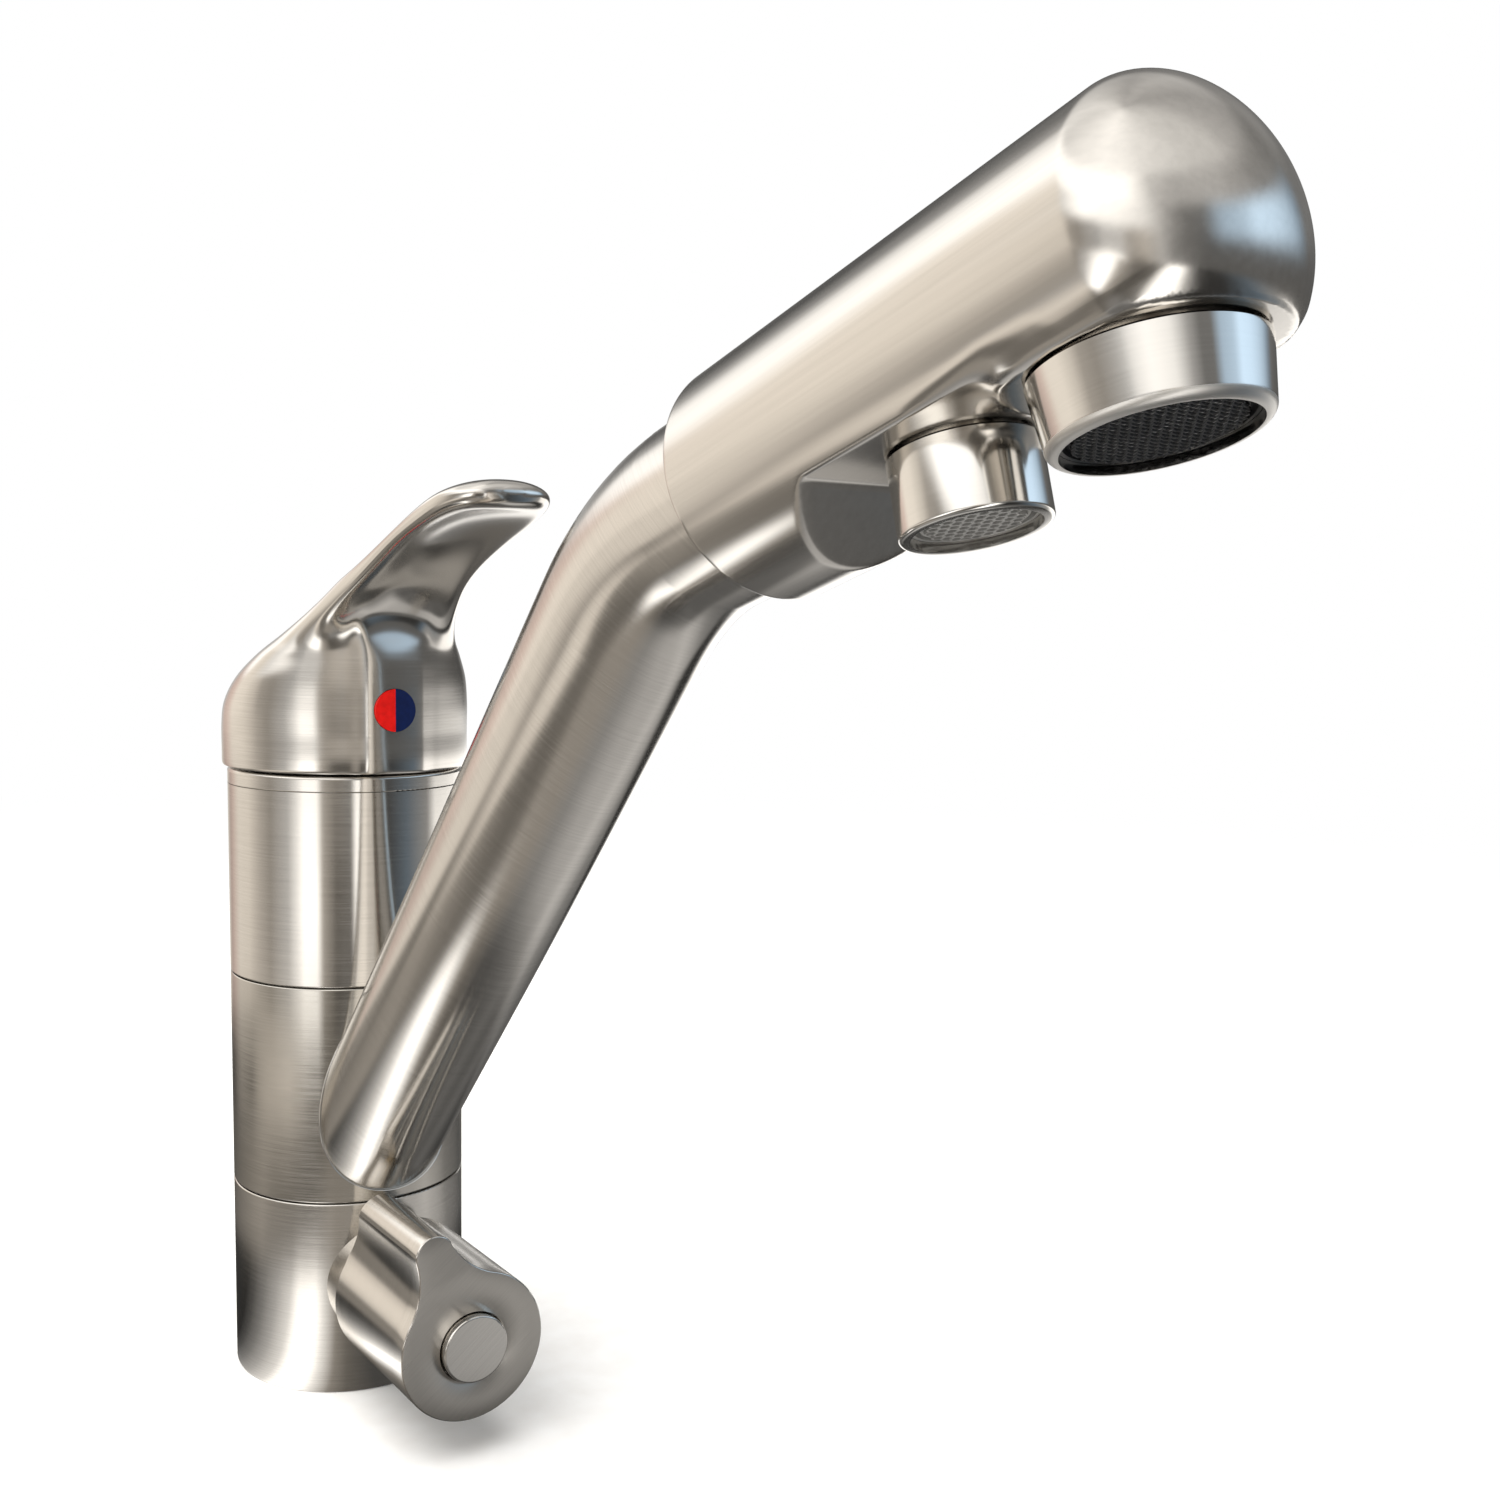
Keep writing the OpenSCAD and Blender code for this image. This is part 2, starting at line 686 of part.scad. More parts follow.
module cartridge_base() {
  color(PLASTIC) difference() {
    translate([0, 0, cartridge_z]) cylinder(r = cartridge_r, h = base_h);
    water_ways(cartridge_z - past, base_h + past * 2, passage_d - 1);
  }
}

// Three round seals between the cartridge's base and the floor of its bore
module cartridge_seals() {
  seal_w = 1.5;
  color(RUBBER) difference() {
    water_ways(bore_z, seal_t, passage_d + seal_w);
    water_ways(bore_z - past, seal_t + past * 2, passage_d - seal_w);
  }
}

module fixed_disc() {
  color(CERAMIC) difference() {
    translate([0, 0, fixed_disc_z]) cylinder(r = disc_r, h = disc_t - lapped_gap);
    water_ways(fixed_disc_z - past, disc_t + past * 2, port_d);
  }
}

// The moving disc with its carrier: a mixing hollow below and the spindle's pocket above
module mixing_disc() {
  pocket_z = pivot_z - ball_drop - ball_r - ball_play;
  color(CERAMIC) difference() {
    translate([0, 0, disc_face]) cylinder(r = mixing_r, h = mixing_t);
    translate([0, 0, pocket_z]) cylinder(r = ball_r + ball_play, h = mixing_t);
    translate([0, 0, disc_face - past]) cylinder(r = mixing_hollow_r, h = mixing_hollow_t + past);
  }
}

// Turns with the lever; its slot lets the spindle tilt about the pivot pin
module cartridge_rotor() {
  slot_z = mixing_top + free_gap;
  slot_w = spindle_w + free_gap * 2;
  slot_half = rotor_r - rotor_wall;
  color("#c9372c") difference() {
    translate([0, 0, slot_z]) cylinder(r = rotor_r, h = rotor_top - slot_z);
    translate([-slot_w / 2, -slot_half, slot_z - past]) cube([slot_w, slot_half * 2, upper_h]);
    on_pivot() translate([0, 0, -pin_half]) cylinder(d = pin_d, h = pin_half * 2);
  }
}

module pivot_pin() {
  color(STEEL) on_pivot() translate([0, 0, -pin_half]) cylinder(d = pin_d, h = pin_half * 2);
}

// Square above the pivot, round below it, with a ball end that pushes the mixing disc
module spindle() {
  heel_z = pivot_z - spindle_heel;
  ball_z = pivot_z - ball_drop;
  stem_r = ball_r * 0.75;
  color(STEEL) difference() {
    union() {
      translate([-spindle_w / 2, -spindle_w / 2, heel_z])
        cube([spindle_w, spindle_w, spindle_top - heel_z]);
      translate([0, 0, ball_z]) cylinder(r = stem_r, h = heel_z - ball_z + past);
      translate([0, 0, ball_z]) sphere(r = ball_r);
    }
    on_pivot() translate([0, 0, -spindle_w]) cylinder(d = pin_d + fit * 2, h = spindle_w * 2);
  }
}

// Lever form: stations from the skirt's edge to the blade's tip. Each row gives the back's
// place and height, the front's or underside's place and height, the half width, how hollow
// the underside is and how far the front band stands out.
skirt_r = skirt_d / 2;
lever_stations = [
  [-0.977, 0, 0.977, 0, 0.958, 0, 1],
  [-1, 0.016, 1, 0.016, 1, 0, 1],
  [-0.996, 0.139, 1, 0.139, 1, 0, 1],
  [-0.908, 0.224, 1, 0.242, 0.979, 0, 1],
  [-0.662, 0.311, 1, 0.338, 0.873, 0, 1],
  [-0.327, 0.405, 1, 0.416, 0.676, 0.02, 1.1],
  [0.038, 0.499, 1.006, 0.459, 0.472, 0.15, 1.4],
  [0.385, 0.567, 1.016, 0.51, 0.324, 0.42, 1.5],
  [0.654, 0.622, 1.047, 0.556, 0.218, 0.72, 1],
  [0.923, 0.685, 1.117, 0.611, 0.12, 0.92, 0.3],
  [1.11, 0.75, 1.225, 0.67, 0.035, 1, 0],
  [1.274, 0.806, 1.367, 0.735, 0, 1, 0],
  [1.475, 0.871, 1.545, 0.803, 0, 0.95, 0],
  [1.658, 0.938, 1.71, 0.851, -0.01, 0.85, 0],
  [1.804, 0.985, 1.84, 0.89, -0.06, 0.6, 0],
  [1.914, 1, 1.94, 0.912, -0.22, 0.25, 0],
  [1.976, 0.991, 1.988, 0.932, -0.5, 0, 0],
  [1.996, 0.972, 2, 0.951, -0.84, 0, 0]];
lever_turns = 64;
lever_steps = 44;

// Places run from -1 at the skirt's back over 1 at its front to 2 at the tip
function forward(k) = k < 1 ? k * skirt_r : skirt_r + (lever_reach - skirt_r) * (k - 1);
// Half widths run from 1 at the skirt over 0 on the blade towards -1 at the tip
function half_width(k) = k > 0 ? blade_half + (skirt_r - blade_half) * min(k, 1) : blade_half * (1 + k);
function smooth(a, b, c, d, f) = b + 0.5 * f * (c - a + f * (2 * a - 5 * b + 4 * c - d
  + f * (3 * (b - c) + d - a)));
function station(x) = let (last = len(lever_stations) - 1, i = min(floor(x), last - 1), s = lever_stations)
  smooth(s[max(i - 1, 0)], s[i], s[i + 1], s[min(i + 2, last)], x - i);
function lever_point(x, turn) = let (
    s = station(x), half = half_width(s[4]), angle = turn - 22 * sin(turn), c = cos(angle),
    back = [forward(max(s[0], -1)), lever_rise * s[1]], front = [forward(s[2]), lever_rise * s[3]],
    side = half * sign(sin(angle)) * pow(abs(sin(angle)), 0.94),
    full = sign(c) * pow(abs(c), s[5] > 0 ? 1 - 0.25 * min(s[5], 1) : 1),
    hollow = c > 0 ? (1 - s[5] * c * c) / (1 - 0.5 * s[5]) : 1,
    band = c > 0 ? s[6] * band_proud / (1 + pow(abs(side) / (band_w / 2), 10)) : 0,
    middle = (back + front) / 2, deep = (front - back) / 2,
    p = middle + deep * (full * hollow + band / norm(deep)))
  [side, -p[0], skirt_z + p[1]];

module lever_form() {
  last = len(lever_stations) - 1;
  rows = [for (i = [0:lever_steps]) last * i / lever_steps];
  points = [for (x = rows) for (j = [0:lever_turns - 1]) lever_point(x, 360 * j / lever_turns)];
  low = len(points);
  n = lever_turns;
  low_mid = [0, 0, skirt_z];
  tip = [(points[n * lever_steps] + points[n * lever_steps + n / 2]) / 2];
  faces = [
    for (i = [0:lever_steps - 1]) for (j = [0:n - 1]) let (k = (j + 1) % n)
      each [[i * n + k, i * n + j, (i + 1) * n + j], [(i + 1) * n + k, i * n + k, (i + 1) * n + j]],
    for (j = [0:n - 1]) [low, j, (j + 1) % n],
    for (j = [0:n - 1]) [low + 1, lever_steps * n + (j + 1) % n, lever_steps * n + j]];
  polyhedron(concat(points, [low_mid], tip), faces, convexity = 6);
}

// The hollow under the skirt is round about the pivot, so that the lever can lift
skirt_inset = 1;
hollow_r = norm([body_r - skirt_inset, trim_top - skirt_inset - pivot_z]) + 1.35;
socket_r = 7;
marker_depth = 2.6;
marker_proud = 0.25;
screw_d = 5;
screw_len = 9;
socket_hex = 2.9;

module lever() {
  hole_y = skirt_r + band_proud;
  color(NICKEL) difference() {
    lever_form();
    difference() {
      translate([0, 0, pivot_z]) sphere(r = hollow_r, $fn = 64);
      translate([0, 0, pivot_z - hollow_r - past]) cylinder(r = hollow_r + past, h = hollow_r + past);
      translate([0, 0, skirt_z]) cylinder(r = socket_r, h = hollow_r);
    }
    translate([-spindle_w / 2, -spindle_w / 2, skirt_z - past])
      cube([spindle_w, spindle_w, spindle_top - skirt_z + past]);
    on_marker(hole_y + past * 4) cylinder(d = marker_d, h = marker_depth + past * 4, $fn = 48);
    on_marker(hole_y) cylinder(d = screw_d, h = hole_y - spindle_w / 2);
  }
}

// Looks from y in front of the axis, at the marker's height, back towards the axis
module on_marker(y) {
  translate([0, -y, skirt_z + marker_z]) rotate([-90, 0, 0]) children();
}

module lever_screw() {
  color(STEEL) on_marker(spindle_w / 2 + screw_len) difference() {
    cylinder(d = screw_d, h = screw_len);
    translate([0, 0, -past]) cylinder(d = socket_hex, h = socket_hex + past, $fn = 6);
  }
}

// One half of the round marker plug; side is -1 for the left half seen from the front
module marker_half(side) {
  on_marker(skirt_r + band_proud + marker_proud) intersection() {
    cylinder(d = marker_d - seat_gap * 2, h = marker_depth, $fn = 48);
    translate([side < 0 ? -marker_d : 0, -marker_d, -past]) cube([marker_d, marker_d * 2, marker_d]);
  }
}

module hot_marker() { color("#e8251a") marker_half(-1); }
module cold_marker() { color("#12235a") marker_half(1); }

// Round disc behind the knob, hollowed to sit on the round body
module valve_flange() {
  color(NICKEL) difference() {
    on_valve() rounded_ring(flange_d / 2, insert_nose_r + seat_gap, body_r / 2, flange_face, 0, edge_r / 2);
    cylinder(r = body_r, h = lower_h * 2, $fn = 96);
  }
}

// Where the filter valve's parts lie, measured out from the bottom of its bore
insert_start = valve_depth + washer_t;
moving_disc_at = insert_start + valve_disc_t;
foot_at = moving_disc_at + valve_disc_t;
chamber_end = foot_at + disc_chamber_h;

// Screwed insert: the discs' chamber with its side outlet, the stem's bore and a seal groove
module valve_insert() {
  color(BRASS) on_valve() difference() {
    union() {
      translate([0, 0, insert_start]) cylinder(r = valve_r, h = insert_end - insert_start);
      translate([0, 0, insert_end - past]) cylinder(r = insert_nose_r, h = insert_nose - insert_end + past);
    }
    translate([0, 0, insert_start - past]) cylinder(r = valve_disc_r, h = chamber_end - insert_start + past);
    cylinder(r = valve_stem_r + fit, h = insert_nose + past);
    rotate_extrude() translate([valve_r - knob_seal_w, seal_place]) square([knob_seal_w + past, knob_seal_h]);
    translate([0, 0, chamber_end - outlet_d / 2]) rotate([-90, 0, 0])
      cylinder(d = outlet_d, h = valve_r + past);
  }
}

module valve_seal() {
  color(RUBBER) on_valve() rotate_extrude() translate([valve_r - knob_seal_w, seal_place])
    square([knob_seal_w, knob_seal_h]);
}

module valve_washer() {
  bore_r = filter_passage_d / 2 + 0.5;
  color(RUBBER) on_valve() rotate_extrude() translate([bore_r, valve_depth])
    square([valve_r - seat_gap - bore_r, washer_t]);
}

// A valve disc with two openings on opposite sides
module valve_disc(r, z, high) {
  difference() {
    translate([0, 0, z]) cylinder(r = r, h = high);
    for (side = [-1, 1]) translate([0, side * r / 2, z - past]) cylinder(d = r / 2, h = high + past * 2);
  }
}

module valve_fixed_disc() {
  color(CERAMIC) on_valve() valve_disc(valve_disc_r, insert_start, valve_disc_t - lapped_gap);
}

module valve_moving_disc() {
  color(CERAMIC) on_valve() rotate([0, 0, 90]) valve_disc(valve_disc_r - fit, moving_disc_at, valve_disc_t);
}

// Round stem with a flat bar at its foot that turns the moving disc
module valve_spindle() {
  bar_half = valve_disc_r - 0.5;
  color(BRASS) on_valve() difference() {
    union() {
      translate([-bar_half, -bar_w / 2, foot_at]) cube([bar_half * 2, bar_w, bar_t]);
      translate([0, 0, foot_at + bar_t / 2]) cylinder(r = valve_stem_r, h = stem_end - foot_at - bar_t / 2);
    }
    translate([0, 0, stem_end - screw_hold - 2]) cylinder(d = screw_core, h = screw_hold + 2 + past);
  }
}

// Outline of the knob: a round part with one lobe joined by tangent hollows
lobe_y = lobe_reach - lobe_r;
hollow_far = knob_r + lobe_hollow_r;
hollow_turn = acos((hollow_far * hollow_far + lobe_y * lobe_y - pow(lobe_hollow_r + lobe_r, 2))
  / (2 * hollow_far * lobe_y));
module knob_outline() {
  circle(r = knob_r, $fn = 96);
  translate([0, lobe_y]) circle(r = lobe_r, $fn = 48);
  difference() {
    polygon([[0, 0], for (side = [1, -1]) for (p = side > 0 ? [0, 1] : [1, 0])
      let (c = hollow_far * [side * sin(hollow_turn), cos(hollow_turn)])
      p == 0 ? c * knob_r / hollow_far
             : [0, lobe_y] + (c - [0, lobe_y]) * lobe_r / (lobe_hollow_r + lobe_r)]);
    for (side = [-1, 1]) translate(hollow_far * [side * sin(hollow_turn), cos(hollow_turn)])
      circle(r = lobe_hollow_r, $fn = 96);
  }
}

module filter_knob() {
  color(NICKEL) on_valve() rotate([0, 0, lobe_rest]) difference() {
    union() {
      translate([0, 0, knob_back]) cylinder(r = knob_r, h = knob_face - knob_back, $fn = 96);
      difference() {
        translate([0, 0, knob_back]) linear_extrude(knob_face - knob_back) knob_outline();
        translate([-lobe_reach, knob_r - lobe_r / 2, knob_back]) rotate([lobe_slope, 0, 0])
          translate([0, 0, -lobe_reach]) cube([lobe_reach * 2, lobe_reach * 2, lobe_reach]);
      }
    }
    translate([0, 0, knob_back - past])
      cylinder(r = insert_nose_r + 1.5, h = insert_nose - knob_back + past * 2);
    translate([0, 0, knob_back]) cylinder(r = valve_stem_r, h = stem_end - knob_back + seat_gap);
    translate([0, 0, knob_face - cap_depth]) cylinder(d = cap_d + free_gap, h = cap_depth + past);
    translate([0, 0, screw_seat]) cylinder(d = screw_head_d + past, h = knob_face - screw_seat);
    translate([0, 0, stem_end - past]) cylinder(d = screw_core + past, h = knob_face - stem_end);
  }
}

module knob_screw() {
  slot_w = 0.8;
  color(STEEL) on_valve() difference() {
    union() {
      translate([0, 0, stem_end - screw_hold]) cylinder(d = screw_core, h = screw_seat - stem_end + screw_hold);
      translate([0, 0, screw_seat]) cylinder(d = screw_head_d, h = screw_head_t);
    }
    for (turn = [0, 90]) rotate([0, 0, turn])
      translate([-screw_core / 2, -slot_w / 2, screw_seat + screw_head_t / 2])
        cube([screw_core, slot_w, screw_head_t]);
  }
}

module knob_cap() {
  color("#c9c6c0") on_valve()
    rounded_ring(cap_d / 2, 0, knob_face - cap_depth, knob_face + cap_proud, 0, edge_r * 0.7);
}

lower_body();
base_seal();
core_column();
column_seals();
glide_rings();
upper_body();
trim_ring();
cartridge_nut();
cartridge_housing();
cartridge_base();
cartridge_seals();
fixed_disc();
mixing_disc();
cartridge_rotor();
pivot_pin();
spindle();
lever();
lever_screw();
hot_marker();
cold_marker();
swivel_collar();
spout_tube();
filter_tube();
tube_seal();
spout_head();
main_nozzle();
main_aerator();
main_washer();
filter_nozzle();
filter_aerator();
filter_washer();
valve_flange();
valve_insert();
valve_seal();
valve_washer();
valve_fixed_disc();
valve_moving_disc();
valve_spindle();
filter_knob();
knob_screw();
knob_cap();
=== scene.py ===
# %% [markdown]
# # A three-way kitchen tap in brushed nickel
# This lesson dresses a finished CAD model. Every solid of the tap already has its real size
# and place, so nothing here is moved. We set up the camera, the light and the floor, give
# each piece the finish of its real material, and rebuild the few pieces whose look needs
# finer meshes than the CAD has: the cast lever, the knob, the spout's head, the two nozzle
# sleeves and the sieves inside them.

# %% Load the frame
import math

import bmesh
import bpy
from mathutils import Matrix, Vector


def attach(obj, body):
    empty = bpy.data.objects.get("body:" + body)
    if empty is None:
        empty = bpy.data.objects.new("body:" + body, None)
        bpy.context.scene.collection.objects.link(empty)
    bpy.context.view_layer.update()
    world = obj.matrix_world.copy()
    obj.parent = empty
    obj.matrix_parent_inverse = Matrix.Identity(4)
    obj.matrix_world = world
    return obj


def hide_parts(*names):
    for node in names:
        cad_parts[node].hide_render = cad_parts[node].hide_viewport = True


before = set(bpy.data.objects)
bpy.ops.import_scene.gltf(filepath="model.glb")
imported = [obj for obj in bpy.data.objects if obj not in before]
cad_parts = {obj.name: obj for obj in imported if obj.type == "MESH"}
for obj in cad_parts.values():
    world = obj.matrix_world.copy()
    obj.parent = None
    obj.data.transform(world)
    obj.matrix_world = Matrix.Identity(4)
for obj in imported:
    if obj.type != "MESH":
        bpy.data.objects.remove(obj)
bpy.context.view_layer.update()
MM = 0.001

# %% [markdown]
# ## The camera
# A photographer stood close to the tap, a little to the left of its front, with the lens
# just above the spout's middle. We write that down as a distance, two angles and a height,
# and turn them into the camera's matrix. The small shift says that the picture was cropped
# off centre; it stays small, so that other views look natural too.

# %% Place the camera
CAMERA_DISTANCE = 366.2 * MM
CAMERA_HEIGHT = 169.4 * MM
CAMERA_SIDE = math.radians(21.4)
CAMERA_YAW = math.radians(14.57)
CAMERA_PITCH = math.radians(6.93)
CAMERA_ROLL = math.radians(1.3)
LENS_MM = 38.73
SHIFT_X = -0.0086
SHIFT_Y = 0.0375


def camera_matrix():
    heading = CAMERA_SIDE + CAMERA_YAW
    level = Vector((math.sin(heading), math.cos(heading), 0))
    ahead = level * math.cos(CAMERA_PITCH) - Vector((0, 0, math.sin(CAMERA_PITCH)))
    right = Vector((math.cos(heading), -math.sin(heading), 0))
    up = right.cross(ahead)
    c, s = math.cos(CAMERA_ROLL), math.sin(CAMERA_ROLL)
    rolled_right = right * c + up * s
    rolled_up = up * c - right * s
    place = Vector((-math.sin(CAMERA_SIDE), -math.cos(CAMERA_SIDE), 0)) * CAMERA_DISTANCE
    place.z = CAMERA_HEIGHT
    turn = Matrix((rolled_right, rolled_up, -ahead)).transposed()
    return Matrix.Translation(place) @ turn.to_4x4()


camera = bpy.data.objects.new("camera", bpy.data.cameras.new("camera"))
bpy.context.scene.collection.objects.link(camera)
camera.data.lens = LENS_MM
camera.data.sensor_width = 36
camera.data.shift_x = SHIFT_X
camera.data.shift_y = SHIFT_Y
camera.data.clip_start = 10 * MM
camera.matrix_world = camera_matrix()
bpy.context.scene.camera = camera
print("camera at, mm:", [round(v / MM, 1) for v in camera.matrix_world.translation])

# %% [markdown]
# ## One helper for every node
# A material in Blender is a small graph. Writing it out by hand is long, so one helper adds
# a node, sets its values and links its inputs. A value that is an output socket becomes a
# link, and anything else is set on the socket itself.


# %% Add a node, and turn a hex colour to linear
def add(tree, kind, settings=None, **inputs):
    node = tree.nodes.new(kind)
    for name, value in (settings or {}).items():
        setattr(node, name, value)
    for name, value in inputs.items():
        key = int(name[1:]) if name[0] == "i" and name[1:].isdigit() else name.replace("_", " ")
        if isinstance(value, bpy.types.NodeSocket):
            tree.links.new(value, node.inputs[key])
        else:
            node.inputs[key].default_value = value
    return node


def linear(hex_colour):
    parts = [int(hex_colour[i:i + 2], 16) / 255 for i in (1, 3, 5)]
    return tuple(c / 12.92 if c < 0.04045 else ((c + 0.055) / 1.055) ** 2.4 for c in parts) + (1,)


def ramp(tree, factor, stops, mode="LINEAR"):
    node = add(tree, "ShaderNodeValToRGB", Fac=factor)
    node.color_ramp.interpolation = mode
    while len(node.color_ramp.elements) < len(stops):
        node.color_ramp.elements.new(0.5)
    for element, (place, colour) in zip(node.color_ramp.elements, stops):
        element.position = place
        element.color = colour
    return node.outputs["Color"]


print("hex test:", [round(v, 3) for v in linear("#808080")])

# %% [markdown]
# ## The light
# Brushed metal has hardly any colour of its own. What we see on it is the room: a broad
# window on the left, a slim one near the middle, dark furniture on the right and a strip of
# blue daylight above it. So the studio here is a sky of soft bright and dark bands, in rings
# one above the other. In each ring a band is given by its angle to the left (negative) or
# right of the camera, by its strength and by its colour. The camera itself sees plain white.


# %% Mix rings of coloured bands
WARM, PLAIN, COOL = "#fff6ea", "#fffdfa", "#cfe8ff"
BACKDROP = 1.0


def lit(strength, hex_colour):
    return tuple(c * strength for c in linear(hex_colour)[:3]) + (1,)


def banded(tree, where, measure, rings):
    turned = add(tree, "ShaderNodeVectorRotate", {"rotation_type": "Z_AXIS"}, Vector=where,
                 Angle=-math.atan2(-math.cos(CAMERA_SIDE), -math.sin(CAMERA_SIDE))).outputs[0]
    part = add(tree, "ShaderNodeSeparateXYZ", Vector=turned)
    around = add(tree, "ShaderNodeMath", {"operation": "ARCTAN2"},
                 i0=part.outputs["Y"], i1=part.outputs["X"]).outputs[0]
    place = add(tree, "ShaderNodeMapRange", Value=around, From_Min=-math.pi, From_Max=math.pi)
    mixed = None
    for limits, bands in rings:
        ring = ramp(tree, place.outputs[0], [((a + 180) / 360, lit(s, h)) for a, s, h in bands])
        if limits is None:
            mixed = ring
            continue
        share = add(tree, "ShaderNodeMapRange", {"interpolation_type": "SMOOTHSTEP"},
                    Value=measure, From_Min=limits[0], From_Max=limits[1]).outputs[0]
        mixed = add(tree, "ShaderNodeMix", {"data_type": "RGBA"},
                    i0=share, i6=mixed, i7=ring).outputs[2]
    return mixed


def rise(low, high):
    return math.sin(math.radians(low)), math.sin(math.radians(high))


# %% [markdown]
# There are five rings: the foot of the walls, eye level, the windows, the wall above them and
# the ceiling. Each row below is one ring, and reads as a list of angle, strength and colour.
# The rings meet softly, between two heights that are given as angles above the horizon.

# %% Build the studio sky
WALL_FOOT = [(-180, 1.2, PLAIN), (-162, 0.7, WARM), (-150, 0.54, "#ffe6da"),
             (-140, 0.76, "#ffe8dc"), (-126, 1.0, WARM), (-108, 1.0, WARM), (-92, 0.65, WARM),
             (-78, 0.4, WARM), (-58, 0.7, PLAIN), (-48, 1.5, PLAIN), (-41, 2.3, PLAIN),
             (-29, 2.3, PLAIN), (-23, 0.6, WARM), (-10, 0.12, WARM), (4, 0.16, WARM),
             (9, 2.4, PLAIN), (15, 2.8, PLAIN), (21, 0.4, PLAIN), (27, 0.03, PLAIN),
             (40, 0.05, PLAIN), (60, 0.25, COOL), (85, 0.45, PLAIN), (96, 1.6, PLAIN),
             (140, 1.8, PLAIN), (152, 1.7, PLAIN), (180, 1.2, PLAIN)]
EYE_LEVEL = [(-180, 0.45, PLAIN), (-165, 0.62, PLAIN), (-153, 0.75, "#ffe6da"),
             (-142, 0.95, "#ffe8dc"), (-131, 1.2, WARM), (-115, 1.15, WARM), (-100, 0.85, WARM),
             (-90, 0.5, WARM), (-76, 0.38, WARM), (-51, 0.55, PLAIN), (-44, 0.8, PLAIN),
             (-28, 0.8, PLAIN), (-19, 0.5, WARM), (-8, 0.7, WARM), (3, 0.7, PLAIN),
             (12, 0.28, PLAIN), (30, 0.15, PLAIN), (60, 0.16, PLAIN),
             (105, 0.14, PLAIN), (147, 0.1, PLAIN), (160, 0.3, PLAIN), (180, 0.45, PLAIN)]
WINDOWS = [(-180, 0.1, PLAIN), (-170, 0.22, PLAIN), (-162, 0.5, PLAIN), (-154, 1.5, PLAIN),
           (-140, 1.75, PLAIN), (-130, 1.25, WARM), (-118, 1.1, WARM), (-100, 1.15, PLAIN),
           (-67, 2.0, PLAIN), (-30, 1.7, PLAIN), (-8, 1.3, PLAIN), (8, 0.5, PLAIN),
           (20, 0.2, PLAIN), (32, 0.2, PLAIN), (42, 0.9, COOL), (56, 1.1, COOL), (65, 1.6, COOL),
           (78, 1.5, COOL), (89, 1.25, COOL), (100, 0.9, COOL), (108, 0.5, COOL),
           (116, 0.22, PLAIN), (140, 0.2, PLAIN), (152, 0.12, PLAIN), (180, 0.1, PLAIN)]
LINTEL = [(-180, 0.2, PLAIN), (-165, 0.4, PLAIN), (-156, 1.3, PLAIN), (-140, 1.8, PLAIN),
          (-67, 2.0, PLAIN), (-20, 2.0, PLAIN), (0, 0.8, PLAIN), (15, 0.62, PLAIN),
          (45, 0.64, PLAIN), (60, 0.5, PLAIN), (78, 0.34, PLAIN), (95, 0.32, PLAIN),
          (110, 0.24, PLAIN), (127, 0.34, PLAIN), (140, 0.27, PLAIN), (159, 0.18, PLAIN),
          (180, 0.2, PLAIN)]
CEILING = [(-180, 0.8, PLAIN), (-151, 1.2, PLAIN), (-129, 1.05, PLAIN), (-90, 1.3, PLAIN),
           (-40, 1.6, PLAIN), (0, 1.2, PLAIN), (38, 0.9, PLAIN), (63, 0.86, PLAIN),
           (74, 0.7, PLAIN), (88, 0.58, PLAIN), (114, 0.48, PLAIN), (138, 0.68, PLAIN),
           (153, 0.5, PLAIN), (180, 0.8, PLAIN)]

world = bpy.data.worlds.new("studio")
bpy.context.scene.world = world
world.use_nodes = True
sky = world.node_tree
sky.nodes.clear()
direction = add(sky, "ShaderNodeTexCoord").outputs["Generated"]
height = add(sky, "ShaderNodeSeparateXYZ", Vector=direction).outputs["Z"]
RINGS = [(None, WALL_FOOT), (rise(-7, -3), EYE_LEVEL), (rise(9, 18), WINDOWS),
         (rise(24, 33), LINTEL), (rise(40, 50), CEILING)]
room_light = banded(sky, direction, height, RINGS)
room = add(sky, "ShaderNodeBackground", Color=room_light, Strength=1.0)
white = add(sky, "ShaderNodeBackground", Color=(BACKDROP, BACKDROP, BACKDROP, 1))
seen = add(sky, "ShaderNodeMixShader", i0=add(sky, "ShaderNodeLightPath").outputs["Is Camera Ray"],
           i1=room.outputs[0], i2=white.outputs[0])
add(sky, "ShaderNodeOutputWorld", Surface=seen.outputs[0])
bpy.context.scene.view_settings.view_transform = "Standard"
print("sky rings:", len(RINGS))
